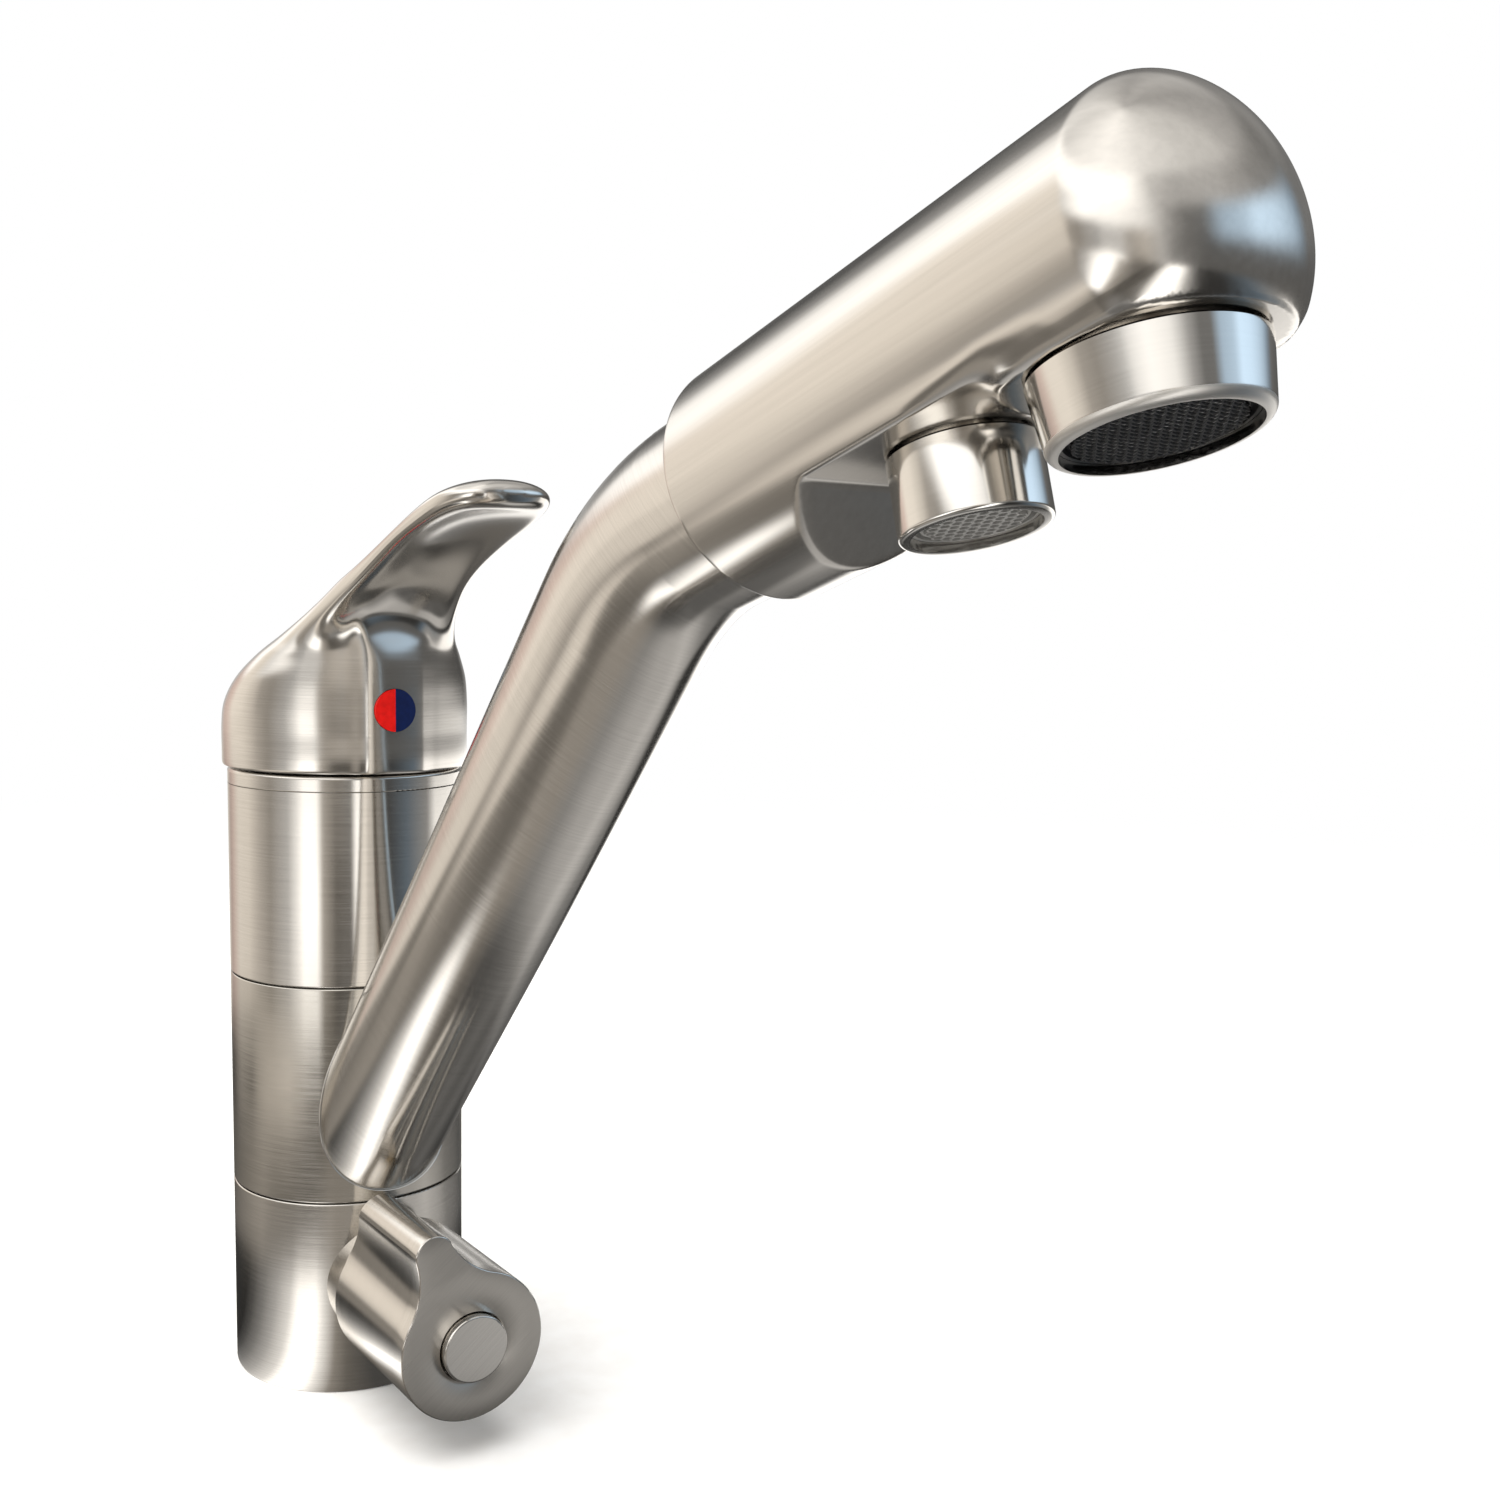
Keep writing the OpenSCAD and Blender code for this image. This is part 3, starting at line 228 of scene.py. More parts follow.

# %% [markdown]
# ## The glowing disc that paints the worktop's reflection
# A tap stands on a worktop, and its lower half mirrors that. A large glowing disc paints that
# reflection: painted light far away, painted shade near the foot and a painted patch of window
# light in front. Its bands lie in rings too, this time by their distance from the tap in
# millimetres. Only the metal sees the disc: for the camera there is a plain pale floor instead.

# %% Lay the glowing disc that paints the worktop's reflection
# Painted reflection: the low values near the foot are painted shade, and the bright band in front
# is a painted patch of window light.
NEAR = [(-180, 0.36, PLAIN), (-162, 0.2, PLAIN), (-152, 0.04, PLAIN), (-106, 0.03, PLAIN),
        (-94, 0.1, PLAIN), (-80, 0.28, PLAIN), (-66, 0.6, PLAIN), (-52, 1.15, PLAIN),
        (-44, 2.1, PLAIN), (-30, 2.4, PLAIN), (-22, 1.3, PLAIN), (-12, 0.36, WARM),
        (-3, 0.18, WARM), (13, 0.09, PLAIN), (24, 0.09, PLAIN), (54, 0.15, PLAIN),
        (64, 0.18, PLAIN), (84, 0.12, PLAIN), (104, 0.17, PLAIN), (125, 0.08, PLAIN),
        (138, 0.05, PLAIN), (150, 0.1, PLAIN), (165, 0.24, PLAIN), (180, 0.36, PLAIN)]
MIDDLE = [(-180, 0.2, WARM), (-150, 0.12, WARM), (-118, 0.28, WARM), (-100, 0.38, WARM),
          (-88, 0.42, WARM), (-76, 0.32, WARM), (-56, 0.24, WARM), (-40, 0.2, WARM),
          (-28, 0.24, WARM), (-18, 0.4, WARM), (0, 0.4, WARM), (20, 0.36, PLAIN),
          (42, 0.56, PLAIN), (60, 0.6, PLAIN), (74, 0.72, PLAIN), (92, 0.5, PLAIN),
          (104, 0.3, PLAIN), (140, 0.12, PLAIN), (180, 0.2, WARM)]
OUTER = [(-180, 0.24, PLAIN), (-160, 0.12, PLAIN), (-150, 0.08, WARM), (-140, 0.16, WARM),
         (-125, 0.34, WARM), (-113, 0.28, WARM), (-105, 0.24, WARM), (-94, 0.6, WARM),
         (-80, 0.95, WARM), (-58, 1.1, WARM), (-46, 0.7, WARM), (-36, 0.34, WARM),
         (-22, 0.16, WARM), (-12, 0.2, WARM), (-3, 0.36, PLAIN), (8, 0.22, PLAIN),
         (30, 0.18, PLAIN), (48, 0.17, PLAIN), (62, 0.12, PLAIN), (90, 0.04, PLAIN),
         (138, 0.05, PLAIN), (148, 0.14, PLAIN), (165, 0.22, PLAIN), (180, 0.24, PLAIN)]
WORKTOP_RADIUS = 1.6
WORKTOP_HEIGHT = -0.1 * MM


def disc(name, radius, height):
    mesh = bmesh.new()
    bmesh.ops.create_circle(mesh, cap_ends=True, segments=96, radius=radius)
    data = bpy.data.meshes.new(name)
    mesh.to_mesh(data)
    mesh.free()
    made = bpy.data.objects.new(name, data)
    bpy.context.scene.collection.objects.link(made)
    made.location.z = height
    return made


worktop = disc("worktop_reflection_glow", WORKTOP_RADIUS, WORKTOP_HEIGHT)
for kind in ("camera", "diffuse", "transmission", "shadow"):
    setattr(worktop, "visible_" + kind, False)
counter = bpy.data.materials.new("worktop_light")
counter.use_nodes = True
tree = counter.node_tree
tree.nodes.clear()
where = add(tree, "ShaderNodeTexCoord").outputs["Object"]
away = add(tree, "ShaderNodeVectorMath", {"operation": "LENGTH"}, i0=where).outputs["Value"]
counter_light = banded(tree, where, away, [
    (None, NEAR), ((75 * MM, 105 * MM), MIDDLE), ((185 * MM, 225 * MM), OUTER),
    ((275 * MM, 385 * MM), WALL_FOOT)])
# The disc glows, though it stands for a worktop and is no lamp: its emission is the painted
# reflection.
shine = add(tree, "ShaderNodeEmission", Color=counter_light)
add(tree, "ShaderNodeOutputMaterial", Surface=shine.outputs[0])
worktop.data.materials.append(counter)
print("worktop radius, m:", WORKTOP_RADIUS)

# %% [markdown]
# ## Lamp and floor
# One wide soft lamp overhead lights the floor and draws a gentle shadow round the foot. The
# floor is a large pale disc that fades into the white backdrop with distance, so that no
# horizon shows. It is hidden from reflections: the worktop's disc does that work.

# %% Hang the lamp and lay the floor
LAMP_HEIGHT = 1.3
LAMP_SIZE = 1.6
LAMP_POWER = 22
LAMP_X, LAMP_Y = -0.3, -0.3
FLOOR_RADIUS = 3.0
FLOOR_HEIGHT = -0.05 * MM
FLOOR_FADE = (0.3, 1.1)
FLOOR_COLOUR, FLOOR_SHADE = "#f4f3f1", "#efedea"
FIBRE_SCALE = 900.0

lamp = bpy.data.objects.new("ceiling_lamp", bpy.data.lights.new("ceiling_lamp", "AREA"))
bpy.context.scene.collection.objects.link(lamp)
lamp.data.shape = "DISK"
lamp.data.size = LAMP_SIZE
lamp.data.energy = LAMP_POWER
lamp.location = (LAMP_X, LAMP_Y, LAMP_HEIGHT)
lamp.visible_glossy = False

floor = disc("floor", FLOOR_RADIUS, FLOOR_HEIGHT)
floor.visible_glossy = False
# Pale card: matt paper fibres under the tap, so that the shadow shows and nothing mirrors.
paper = bpy.data.materials.new("pale_card")
paper.use_nodes = True
tree = paper.node_tree
tree.nodes.clear()
spot = add(tree, "ShaderNodeVectorMath", {"operation": "LENGTH"},
           i0=add(tree, "ShaderNodeTexCoord").outputs["Object"]).outputs["Value"]
fibre = add(tree, "ShaderNodeTexNoise", Scale=FIBRE_SCALE, Detail=3.0).outputs["Fac"]
tint = ramp(tree, fibre, [(0.3, linear(FLOOR_SHADE)), (0.7, linear(FLOOR_COLOUR))])
card = add(tree, "ShaderNodeBsdfDiffuse", Color=tint)
glow = add(tree, "ShaderNodeEmission", Color=(BACKDROP, BACKDROP, BACKDROP, 1))
fade = add(tree, "ShaderNodeMapRange", {"interpolation_type": "SMOOTHSTEP"},
           Value=spot, From_Min=FLOOR_FADE[0], From_Max=FLOOR_FADE[1])
both = add(tree, "ShaderNodeMixShader", i0=fade.outputs[0], i1=card.outputs[0], i2=glow.outputs[0])
add(tree, "ShaderNodeOutputMaterial", Surface=both.outputs[0])
floor.data.materials.append(paper)
print("floor radius, m:", FLOOR_RADIUS)

# %% [markdown]
# ## Brushed nickel
# The tap is brass, plated with nickel and then brushed with an abrasive belt. The belt
# leaves fine parallel scratches. Along a scratch the metal still mirrors; across it, light
# is spread out. Blender calls that anisotropy, and it needs one direction: the one in which
# light is spread, across the scratches. The same direction squeezes a noise texture into
# thin lines. Real scratches are 0.05 mm apart. They are drawn coarser here, or the picture
# would not show them. A belt also leaves patches of a hand's pressure, some 18 mm wide.

# %% Make brushed metals
SCRATCH_MM = 0.22
STREAK_MM = 14
PATCH_MM = 18


def brushed_metal(name, hex_colour, across, roughness=0.18, anisotropy=0.85, depth_mm=0.006,
                  scratch_mm=SCRATCH_MM, streak_mm=STREAK_MM, uneven=0.05, groove=0.9,
                  ends_mm=None, lengthwise=False):
    """Groove is the tint left in a scratch, ends_mm the heights over which scratches fade."""
    metal = bpy.data.materials.new(name)
    metal.use_nodes = True
    tree = metal.node_tree
    tree.nodes.clear()
    where = add(tree, "ShaderNodeTexCoord").outputs["Object"]
    turn = Vector((0, 0, 1)).rotation_difference(Vector(across)).to_euler()
    long, thin = streak_mm * MM, scratch_mm * MM
    size = (thin, thin, long) if lengthwise else (long, long, thin)
    lined = add(tree, "ShaderNodeMapping", {"vector_type": "TEXTURE"}, Vector=where, Rotation=turn,
                Scale=size).outputs[0]
    lines = add(tree, "ShaderNodeTexNoise", Vector=lined, Scale=1.0, Detail=5.0,
                Roughness=0.62).outputs["Fac"]
    if ends_mm:
        high = add(tree, "ShaderNodeSeparateXYZ", Vector=where).outputs["Z"]
        gone = add(tree, "ShaderNodeMapRange", {"interpolation_type": "SMOOTHSTEP"}, Value=high,
                   From_Min=ends_mm[0] * MM, From_Max=ends_mm[1] * MM).outputs[0]
        lines = add(tree, "ShaderNodeMix", i0=gone, i2=lines, i3=0.5).outputs[0]
    patches = add(tree, "ShaderNodeTexNoise", Vector=where, Scale=1 / (PATCH_MM * MM), Detail=3.0,
                  Roughness=0.55).outputs["Fac"]
    base = linear(hex_colour)
    dull = tuple(c * groove for c in base[:3]) + (1,)
    tint = ramp(tree, lines, [(0.3, dull), (0.62, base)])
    spread = add(tree, "ShaderNodeMapRange", Value=lines, From_Min=0.25, From_Max=0.75,
                 To_Min=roughness - uneven / 2, To_Max=roughness + uneven / 2).outputs[0]
    worn = add(tree, "ShaderNodeMapRange", Value=patches, From_Min=0.3, From_Max=0.7,
               To_Min=-uneven / 3, To_Max=uneven / 3).outputs[0]
    rough = add(tree, "ShaderNodeMath", {"operation": "ADD"}, i0=spread, i1=worn).outputs[0]
    relief = add(tree, "ShaderNodeBump", Strength=0.5, Distance=depth_mm * MM, Height=lines)
    axis = add(tree, "ShaderNodeCombineXYZ", X=across[0], Y=across[1], Z=across[2]).outputs[0]
    carried = add(tree, "ShaderNodeVectorTransform",
                  {"vector_type": "VECTOR", "convert_from": "OBJECT", "convert_to": "WORLD"},
                  Vector=axis).outputs[0]
    surface = add(tree, "ShaderNodeBsdfPrincipled", Base_Color=tint, Metallic=1.0,
                  Roughness=rough, Normal=relief.outputs[0], Tangent=carried,
                  Anisotropic=anisotropy)
    add(tree, "ShaderNodeOutputMaterial", Surface=surface.outputs[0])
    return metal


# %% [markdown]
# Each finish below is one real surface. The direction is the one across its scratches: the
# housings are brushed round and round, so light spreads up and down on them, while the head
# was drawn along the belt. The numbers start from a typical brushed nickel and were then
# matched to the photograph.

# %% Mix the metals
NICKEL = "#d3cfc9"
TUBE_RISE = math.radians(47.4)
HEAD_RISE = math.radians(16.8)
UPRIGHT = (0, 0, 1)
ALONG_TUBE = (0, -math.cos(TUBE_RISE), math.sin(TUBE_RISE))
ALONG_HEAD = (0, -math.cos(HEAD_RISE), math.sin(HEAD_RISE))
ALONG_NOZZLE = (0, math.sin(HEAD_RISE), math.cos(HEAD_RISE))
ALONG_KNOB = (0, -1, 0)
KNOB_BRUSHING = math.radians(38)
ACROSS_KNOB_FACE = (-math.sin(KNOB_BRUSHING), 0, math.cos(KNOB_BRUSHING))
TUBE_SKEW = 0.35
ACROSS_TUBE = tuple((Vector(ALONG_TUBE) + Vector((TUBE_SKEW, 0, 0))).normalized())

FINISH = {
    # Housings: nickel on brass, brushed round the body: tall soft reflections.
    "housing": brushed_metal("brushed_nickel_housing", NICKEL, UPRIGHT, roughness=0.155),
    # Tube: the same plating, brushed round a bend, a little askew.
    "tube": brushed_metal("brushed_nickel_tube", NICKEL, ACROSS_TUBE, roughness=0.16,
                          anisotropy=0.7, depth_mm=0.003),
    # Head: satin plating with long faint streaks from the belt, drawn 1 mm wide to show.
    "head": brushed_metal("satin_nickel_head", NICKEL, ALONG_HEAD, roughness=0.17,
                          anisotropy=0.2, depth_mm=0.002, scratch_mm=1.1, streak_mm=60,
                          uneven=0.03, groove=0.93, lengthwise=True),
    # Collar: brushed more coarsely and unevenly, so it looks cloudy; its darker colour is painted
    # shade from the tube above it.
    "collar": brushed_metal("brushed_nickel_collar_painted_shade", "#c2beb7", UPRIGHT, roughness=0.17,
                            anisotropy=0.65, uneven=0.12),
    # Nozzles: turned fine, almost polished: crisp edges in the reflections.
    "nozzle": brushed_metal("fine_nickel_nozzle", "#d8d5d0", ALONG_NOZZLE, roughness=0.12,
                            anisotropy=0.5, depth_mm=0.0006, uneven=0.03, groove=0.97),
    # The main nozzle's rim: blasted matt, a pale ring without a mirror image.
    "rim": brushed_metal("satin_nickel_rim", "#dedbd6", ALONG_NOZZLE, roughness=0.42,
                         anisotropy=0.0, depth_mm=0.001, uneven=0.04),
    # Lever: brushed round the skirt, smoother towards the blade's tip.
    "lever": brushed_metal("brushed_nickel_lever", NICKEL, UPRIGHT, roughness=0.16,
                           anisotropy=0.45, depth_mm=0.002, uneven=0.03, ends_mm=(152, 166)),
    # Knob: brushed round its side, and straight across its face, which looks flat and grey.
    "knob": brushed_metal("brushed_nickel_knob", NICKEL, ALONG_KNOB, roughness=0.18,
                          depth_mm=0.004),
    "knob_face": brushed_metal("brushed_nickel_knob_face", "#c9c5bf", ACROSS_KNOB_FACE,
                               roughness=0.3, streak_mm=9),
    # Cap: lightly polished, so it is brighter than the face around it.
    "cap": brushed_metal("polished_nickel_cap", "#d8d5d0", ACROSS_KNOB_FACE, roughness=0.16,
                         anisotropy=0.4, depth_mm=0.002, uneven=0.03),
    # Turned brass and ground steel: the bare metals inside.
    "brass": brushed_metal("turned_brass", "#d9b56a", UPRIGHT, roughness=0.25, depth_mm=0.008),
    "steel": brushed_metal("ground_steel", "#b3b5b8", UPRIGHT, roughness=0.28, depth_mm=0.008),
}
print("brushed metals:", len(FINISH))

# %% [markdown]
# ## Plastics, rubber, ceramic and enamel
# These are not metals, so light enters them a little and comes back in their own colour. A
# moulded plastic keeps the fine grain of its mould, rubber is nearly black and dull, lapped
# ceramic is smooth and bright, and the hot and cold marker is enamel under a clear coat.


# %% Make moulded finishes
GRAIN_SHADE = 0.82


def moulded(name, hex_colour, roughness, grain_mm, depth_mm, ior=1.5, coat=0.0):
    stuff = bpy.data.materials.new(name)
    stuff.use_nodes = True
    tree = stuff.node_tree
    tree.nodes.clear()
    where = add(tree, "ShaderNodeTexCoord").outputs["Object"]
    grain = add(tree, "ShaderNodeTexNoise", Vector=where, Scale=1 / (grain_mm * MM),
                Detail=4.0).outputs["Fac"]
    base = linear(hex_colour)
    shade = tuple(c * GRAIN_SHADE for c in base[:3]) + (1,)
    tint = ramp(tree, grain, [(0.3, shade), (0.65, base)])
    rough = add(tree, "ShaderNodeMapRange", Value=grain, To_Min=roughness - 0.06,
                To_Max=roughness + 0.06).outputs[0]
    relief = add(tree, "ShaderNodeBump", Strength=0.4, Distance=depth_mm * MM, Height=grain)
    surface = add(tree, "ShaderNodeBsdfPrincipled", Base_Color=tint, Roughness=rough, IOR=ior,
                  Normal=relief.outputs[0], Coat_Weight=coat)
    add(tree, "ShaderNodeOutputMaterial", Surface=surface.outputs[0])
    return stuff


FINISH.update({
    # Nitrile rubber: dull and almost black.
    "rubber": moulded("moulded_nitrile_rubber", "#1b1b1d", 0.62, 0.5, 0.02, ior=1.52),
    # Acetal and polyethylene: waxy off-white, red for the rotor.
    "acetal": moulded("moulded_acetal", "#e4e2db", 0.42, 0.6, 0.01, ior=1.48),
    "hose": moulded("extruded_polyethylene", "#dfe3e6", 0.35, 0.9, 0.01, ior=1.51),
    "rotor": moulded("moulded_red_acetal", "#a8392c", 0.42, 0.6, 0.01, ior=1.48),
    # Lapped alumina: smooth, bright and hard.
    "ceramic": moulded("lapped_alumina", "#ebe8df", 0.16, 0.3, 0.002, ior=1.76),
    # The sieves' plastics: dark, with a fine matt grain.
    "sieve_black": moulded("moulded_black_acetal", "#17181a", 0.4, 0.4, 0.01, ior=1.48),
    "sieve_grey": moulded("moulded_grey_acetal", "#7d7c79", 0.42, 0.4, 0.01, ior=1.48),
    # Enamel: strong colour under a thin clear coat.
    "red": moulded("red_enamel", "#e8120a", 0.12, 1.2, 0.002, ior=1.52, coat=0.2),
    "blue": moulded("blue_enamel", "#081c4c", 0.12, 1.2, 0.002, ior=1.52, coat=0.2),
})
print("finishes in all:", len(FINISH))

# %% [markdown]
# ## Dress the CAD nodes
# Most pieces keep their CAD mesh. Each gets the finish of its real material.

# %% Give every node its finish
WEARS = {
    "collar": ["swivel_collar"],
    "housing": ["lower_body", "upper_body", "trim_ring", "valve_flange"],
    "tube": ["spout_tube"],
    "head": ["spout_head"],
    "nozzle": ["main_nozzle", "filter_nozzle"],
    "lever": ["lever"],
    "knob": ["filter_knob"],
    "cap": ["knob_cap"],
    "brass": ["core_column", "cartridge_nut", "valve_insert", "valve_spindle"],
    "steel": ["pivot_pin", "spindle", "lever_screw", "knob_screw"],
    "rubber": ["base_seal", "column_seals", "cartridge_seals", "tube_seal", "main_washer",
               "filter_washer", "valve_seal", "valve_washer"],
    "acetal": ["cartridge_housing", "cartridge_base", "glide_rings"],
    "hose": ["filter_tube"],
    "rotor": ["cartridge_rotor"],
    "ceramic": ["fixed_disc", "mixing_disc", "valve_fixed_disc", "valve_moving_disc"],
    "sieve_black": ["main_aerator"],
    "sieve_grey": ["filter_aerator"],
    "red": ["hot_marker"],
    "blue": ["cold_marker"],
}
for finish, nodes in WEARS.items():
    for node in nodes:
        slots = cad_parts[node].data.materials
        slots.clear()
        slots.append(FINISH[finish])
print("nodes dressed:", sum(len(nodes) for nodes in WEARS.values()), "of", len(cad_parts))

# %% [markdown]
# ## Small helpers for turned and swept meshes
# Most shapes from here on are loops of points, joined one to the next with quads. A loop that
# shrinks to a point is closed with a fan. Every piece rides on the CAD body that carries it,
# and hides the CAD node that it stands for, where there is one.


# %% Join loops, and place a piece
WELD_MM = 0.0005


def loops_to_bmesh(loops):
    bm = bmesh.new()
    rows = [[bm.verts.new(p) for p in loop] for loop in loops]
    for low, high in zip(rows, rows[1:]):
        count = len(low)
        for i in range(count):
            j = (i + 1) % count
            bm.faces.new((low[i], low[j], high[j], high[i]))
    return bm, rows


def close_loop(bm, row, centre):
    middle = bm.verts.new(centre)
    for i in range(len(row)):
        bm.faces.new((row[i], row[(i + 1) % len(row)], middle))


def finish_piece(bm, name, body, finish, node=None, sharp_degrees=32, to_frame=None):
    bmesh.ops.remove_doubles(bm, verts=bm.verts, dist=WELD_MM)
    bmesh.ops.recalc_face_normals(bm, faces=bm.faces)
    data = bpy.data.meshes.new(name)
    bm.to_mesh(data)
    bm.free()
    data.transform(to_frame or Matrix())
    data.transform(Matrix.Scale(MM, 4))
    data.shade_smooth()
    data.set_sharp_from_angle(angle=math.radians(sharp_degrees))
    piece = bpy.data.objects.new(name, data)
    bpy.context.scene.collection.objects.link(piece)
    for material in finish if isinstance(finish, (list, tuple)) else [finish]:
        data.materials.append(FINISH[material])
    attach(piece, body)
    if node:
        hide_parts(node)
    print(name, "faces:", len(data.polygons))
    return piece


def circle_points(radius, height, count):
    angles = [2 * math.pi * i / count for i in range(count)]
    return [(radius * math.cos(a), radius * math.sin(a), height) for a in angles]


# %% [markdown]
# ## The lever casting
# The lever is one zinc casting, ground and brushed: a round skirt that leans back into a
# blade with a hollow underside, and a raised band down its front that ends in the thumb's
# rest. The CAD solid builds this form from stations, in flat facets. Here such stations are
# read several times as finely, so that the reflections run smoothly, and those of the blade
# are tuned a little more closely to the photograph. The numbers of a station are, in order:
# how far forward and how high its back lies, the same for its front, how wide it is, how
# deep the underside is hollowed, and how far the band stands out.

# %% Read the lever's stations
BODY_R = 25.0
SKIRT_R = 26.0
SKIRT_HALF = 25.98
SKIRT_Z = 133.95
PIVOT_Z = 124.4
LEVER_REACH = 80
LEVER_RISE = 57.8
BLADE_HALF = 11.8
BAND_W = 15.6
BAND_PROUD = 1.0
HOLLOW_R = math.hypot(24, 8.2) + 1.35
SOCKET_R = 7
LEVER_ROWS = 132
LEVER_COLUMNS = 168
CROWD = 22
SIDE_POWER, BAND_POWER = 0.94, 10
LEVER_STATIONS = [
    (-0.977, 0, 0.977, 0, 0.958, 0, 1), (-1, 0.016, 1, 0.016, 1, 0, 1),
    (-0.996, 0.139, 1, 0.139, 1, 0, 1), (-0.912, 0.232, 1, 0.242, 0.982, 0, 1),
    (-0.67, 0.323, 1, 0.338, 0.883, 0, 1), (-0.335, 0.414, 1, 0.416, 0.686, 0.02, 1),
    (0.038, 0.499, 1.006, 0.462, 0.472, 0.15, 1.1), (0.385, 0.563, 1.016, 0.516, 0.324, 0.4, 1),
    (0.654, 0.614, 1.047, 0.566, 0.218, 0.7, 0.6), (0.923, 0.674, 1.117, 0.624, 0.12, 0.92, 0.2),
    (1.11, 0.735, 1.225, 0.684, 0.035, 1, 0), (1.274, 0.79, 1.367, 0.746, 0, 1, 0),
    (1.475, 0.857, 1.545, 0.808, 0, 0.95, 0), (1.658, 0.926, 1.71, 0.85, -0.01, 0.85, 0),
    (1.804, 0.977, 1.845, 0.878, -0.06, 0.6, 0), (1.914, 0.996, 1.945, 0.896, -0.22, 0.25, 0),
    (1.976, 0.988, 1.99, 0.918, -0.5, 0, 0), (1.996, 0.968, 2, 0.946, -0.84, 0, 0)]


def between(a, b, c, d, f):
    """A smooth curve through four values: b at f = 0 and c at f = 1."""
    return b + f * (c - a + f * (2 * a - 5 * b + 4 * c - d + f * (3 * (b - c) + d - a))) / 2


def station(x):
    last = len(LEVER_STATIONS) - 1
    i = min(int(x), last - 1)
    near = [LEVER_STATIONS[min(max(k, 0), last)] for k in (i - 1, i, i + 1, i + 2)]
    return [between(*values, x - i) for values in zip(*near)]


def forward(k):
    return k * SKIRT_R if k < 1 else SKIRT_R + (LEVER_REACH - SKIRT_R) * (k - 1)


def lever_point(row, turn):
    s = station(row)
    widen = (SKIRT_HALF - BLADE_HALF) * min(s[4], 1)
    half = BLADE_HALF + widen if s[4] > 0 else BLADE_HALF * (1 + s[4])
    angle = math.radians(turn - CROWD * math.sin(math.radians(turn)))
    c, si = math.cos(angle), math.sin(angle)
    back = Vector((forward(max(s[0], -1)), LEVER_RISE * s[1]))
    front = Vector((forward(s[2]), LEVER_RISE * s[3]))
    side = half * math.copysign(abs(si) ** SIDE_POWER, si)
    full = math.copysign(abs(c) ** (1 - 0.25 * min(s[5], 1) if s[5] > 0 else 1), c)
    hollow = (1 - s[5] * c * c) / (1 - 0.5 * s[5]) if c > 0 else 1
    band = s[6] * BAND_PROUD / (1 + (abs(side) / (BAND_W / 2)) ** BAND_POWER) if c > 0 else 0
    middle, deep = (back + front) / 2, (front - back) / 2
    p = middle + deep * (full * hollow + band / deep.length)
    return (side, -p.x, SKIRT_Z + p.y)


rows = [(len(LEVER_STATIONS) - 1) * i / LEVER_ROWS for i in range(LEVER_ROWS + 1)]
skin = [[lever_point(x, 360 * j / LEVER_COLUMNS) for j in range(LEVER_COLUMNS)] for x in rows]
print("lever points:", len(skin) * LEVER_COLUMNS)

# %% [markdown]
# A belt that grinds a casting rounds every inner corner of the blade. So each point there is
# moved a little towards the middle of its four neighbours, a few times over. The skirt below
# stays as it is, and the change from one to the other is gradual.

# %% Round the blade's corners
BLEND_PASSES = 14
BLEND_FROM, BLEND_FULL, BLEND_END = 5.2, 7.5, 15.5


def blend_share(x):
    if x > BLEND_END:
        return 0
    f = min(max((x - BLEND_FROM) / (BLEND_FULL - BLEND_FROM), 0), 1)
    return f * f * (3 - 2 * f) / 2


skin = [[Vector(p) for p in row] for row in skin]
for passed in range(BLEND_PASSES):
    old = skin
    skin = []
    for i, row in enumerate(old):
        share = blend_share(rows[i])
        if share == 0:
            skin.append(row)
            continue
        skin.append([p.lerp((old[i - 1][j] + old[i + 1][j] + row[j - 1]
                             + row[(j + 1) % LEVER_COLUMNS]) / 4, share)
                     for j, p in enumerate(row)])
print("blended rows:", sum(1 for x in rows if blend_share(x)))

# %% [markdown]
# Under the skirt the casting is hollow, round about the pivot, with a boss in the middle that
# holds the cartridge's spindle. That hollow is hidden until the lever lifts. The marker's
# round hole is cut last, with a boolean, and is a hair wider than its plug: that draws the
# thin dark ring round the red and blue marker.

# %% Cast the lever
MARKER_D = 9
MARKER_Z = SKIRT_Z + 13.2
MARKER_DEPTH = 2.6
HOLLOW_ROWS = 16
bearing = [math.atan2(p[1], p[0]) for p in skin[0]]


def round_loop(radius, height):
    return [(radius * math.cos(a), radius * math.sin(a), height) for a in bearing]


hollow = []
start = math.asin((SKIRT_Z - PIVOT_Z) / HOLLOW_R)
stop = math.acos(SOCKET_R / HOLLOW_R)
for i in range(HOLLOW_ROWS + 1):
    tilt = start + (stop - start) * i / HOLLOW_ROWS
    hollow.append(round_loop(HOLLOW_R * math.cos(tilt), PIVOT_Z + HOLLOW_R * math.sin(tilt)))
bm, made = loops_to_bmesh([round_loop(SOCKET_R, SKIRT_Z)] + hollow[::-1] + skin)
close_loop(bm, made[0], (0, 0, SKIRT_Z))
tip = skin[-1]
close_loop(bm, made[-1], tuple((tip[0][k] + tip[LEVER_COLUMNS // 2][k]) / 2 for k in range(3)))
lever = finish_piece(bm, "lever_casting", "handle", "lever", "lever", 40)

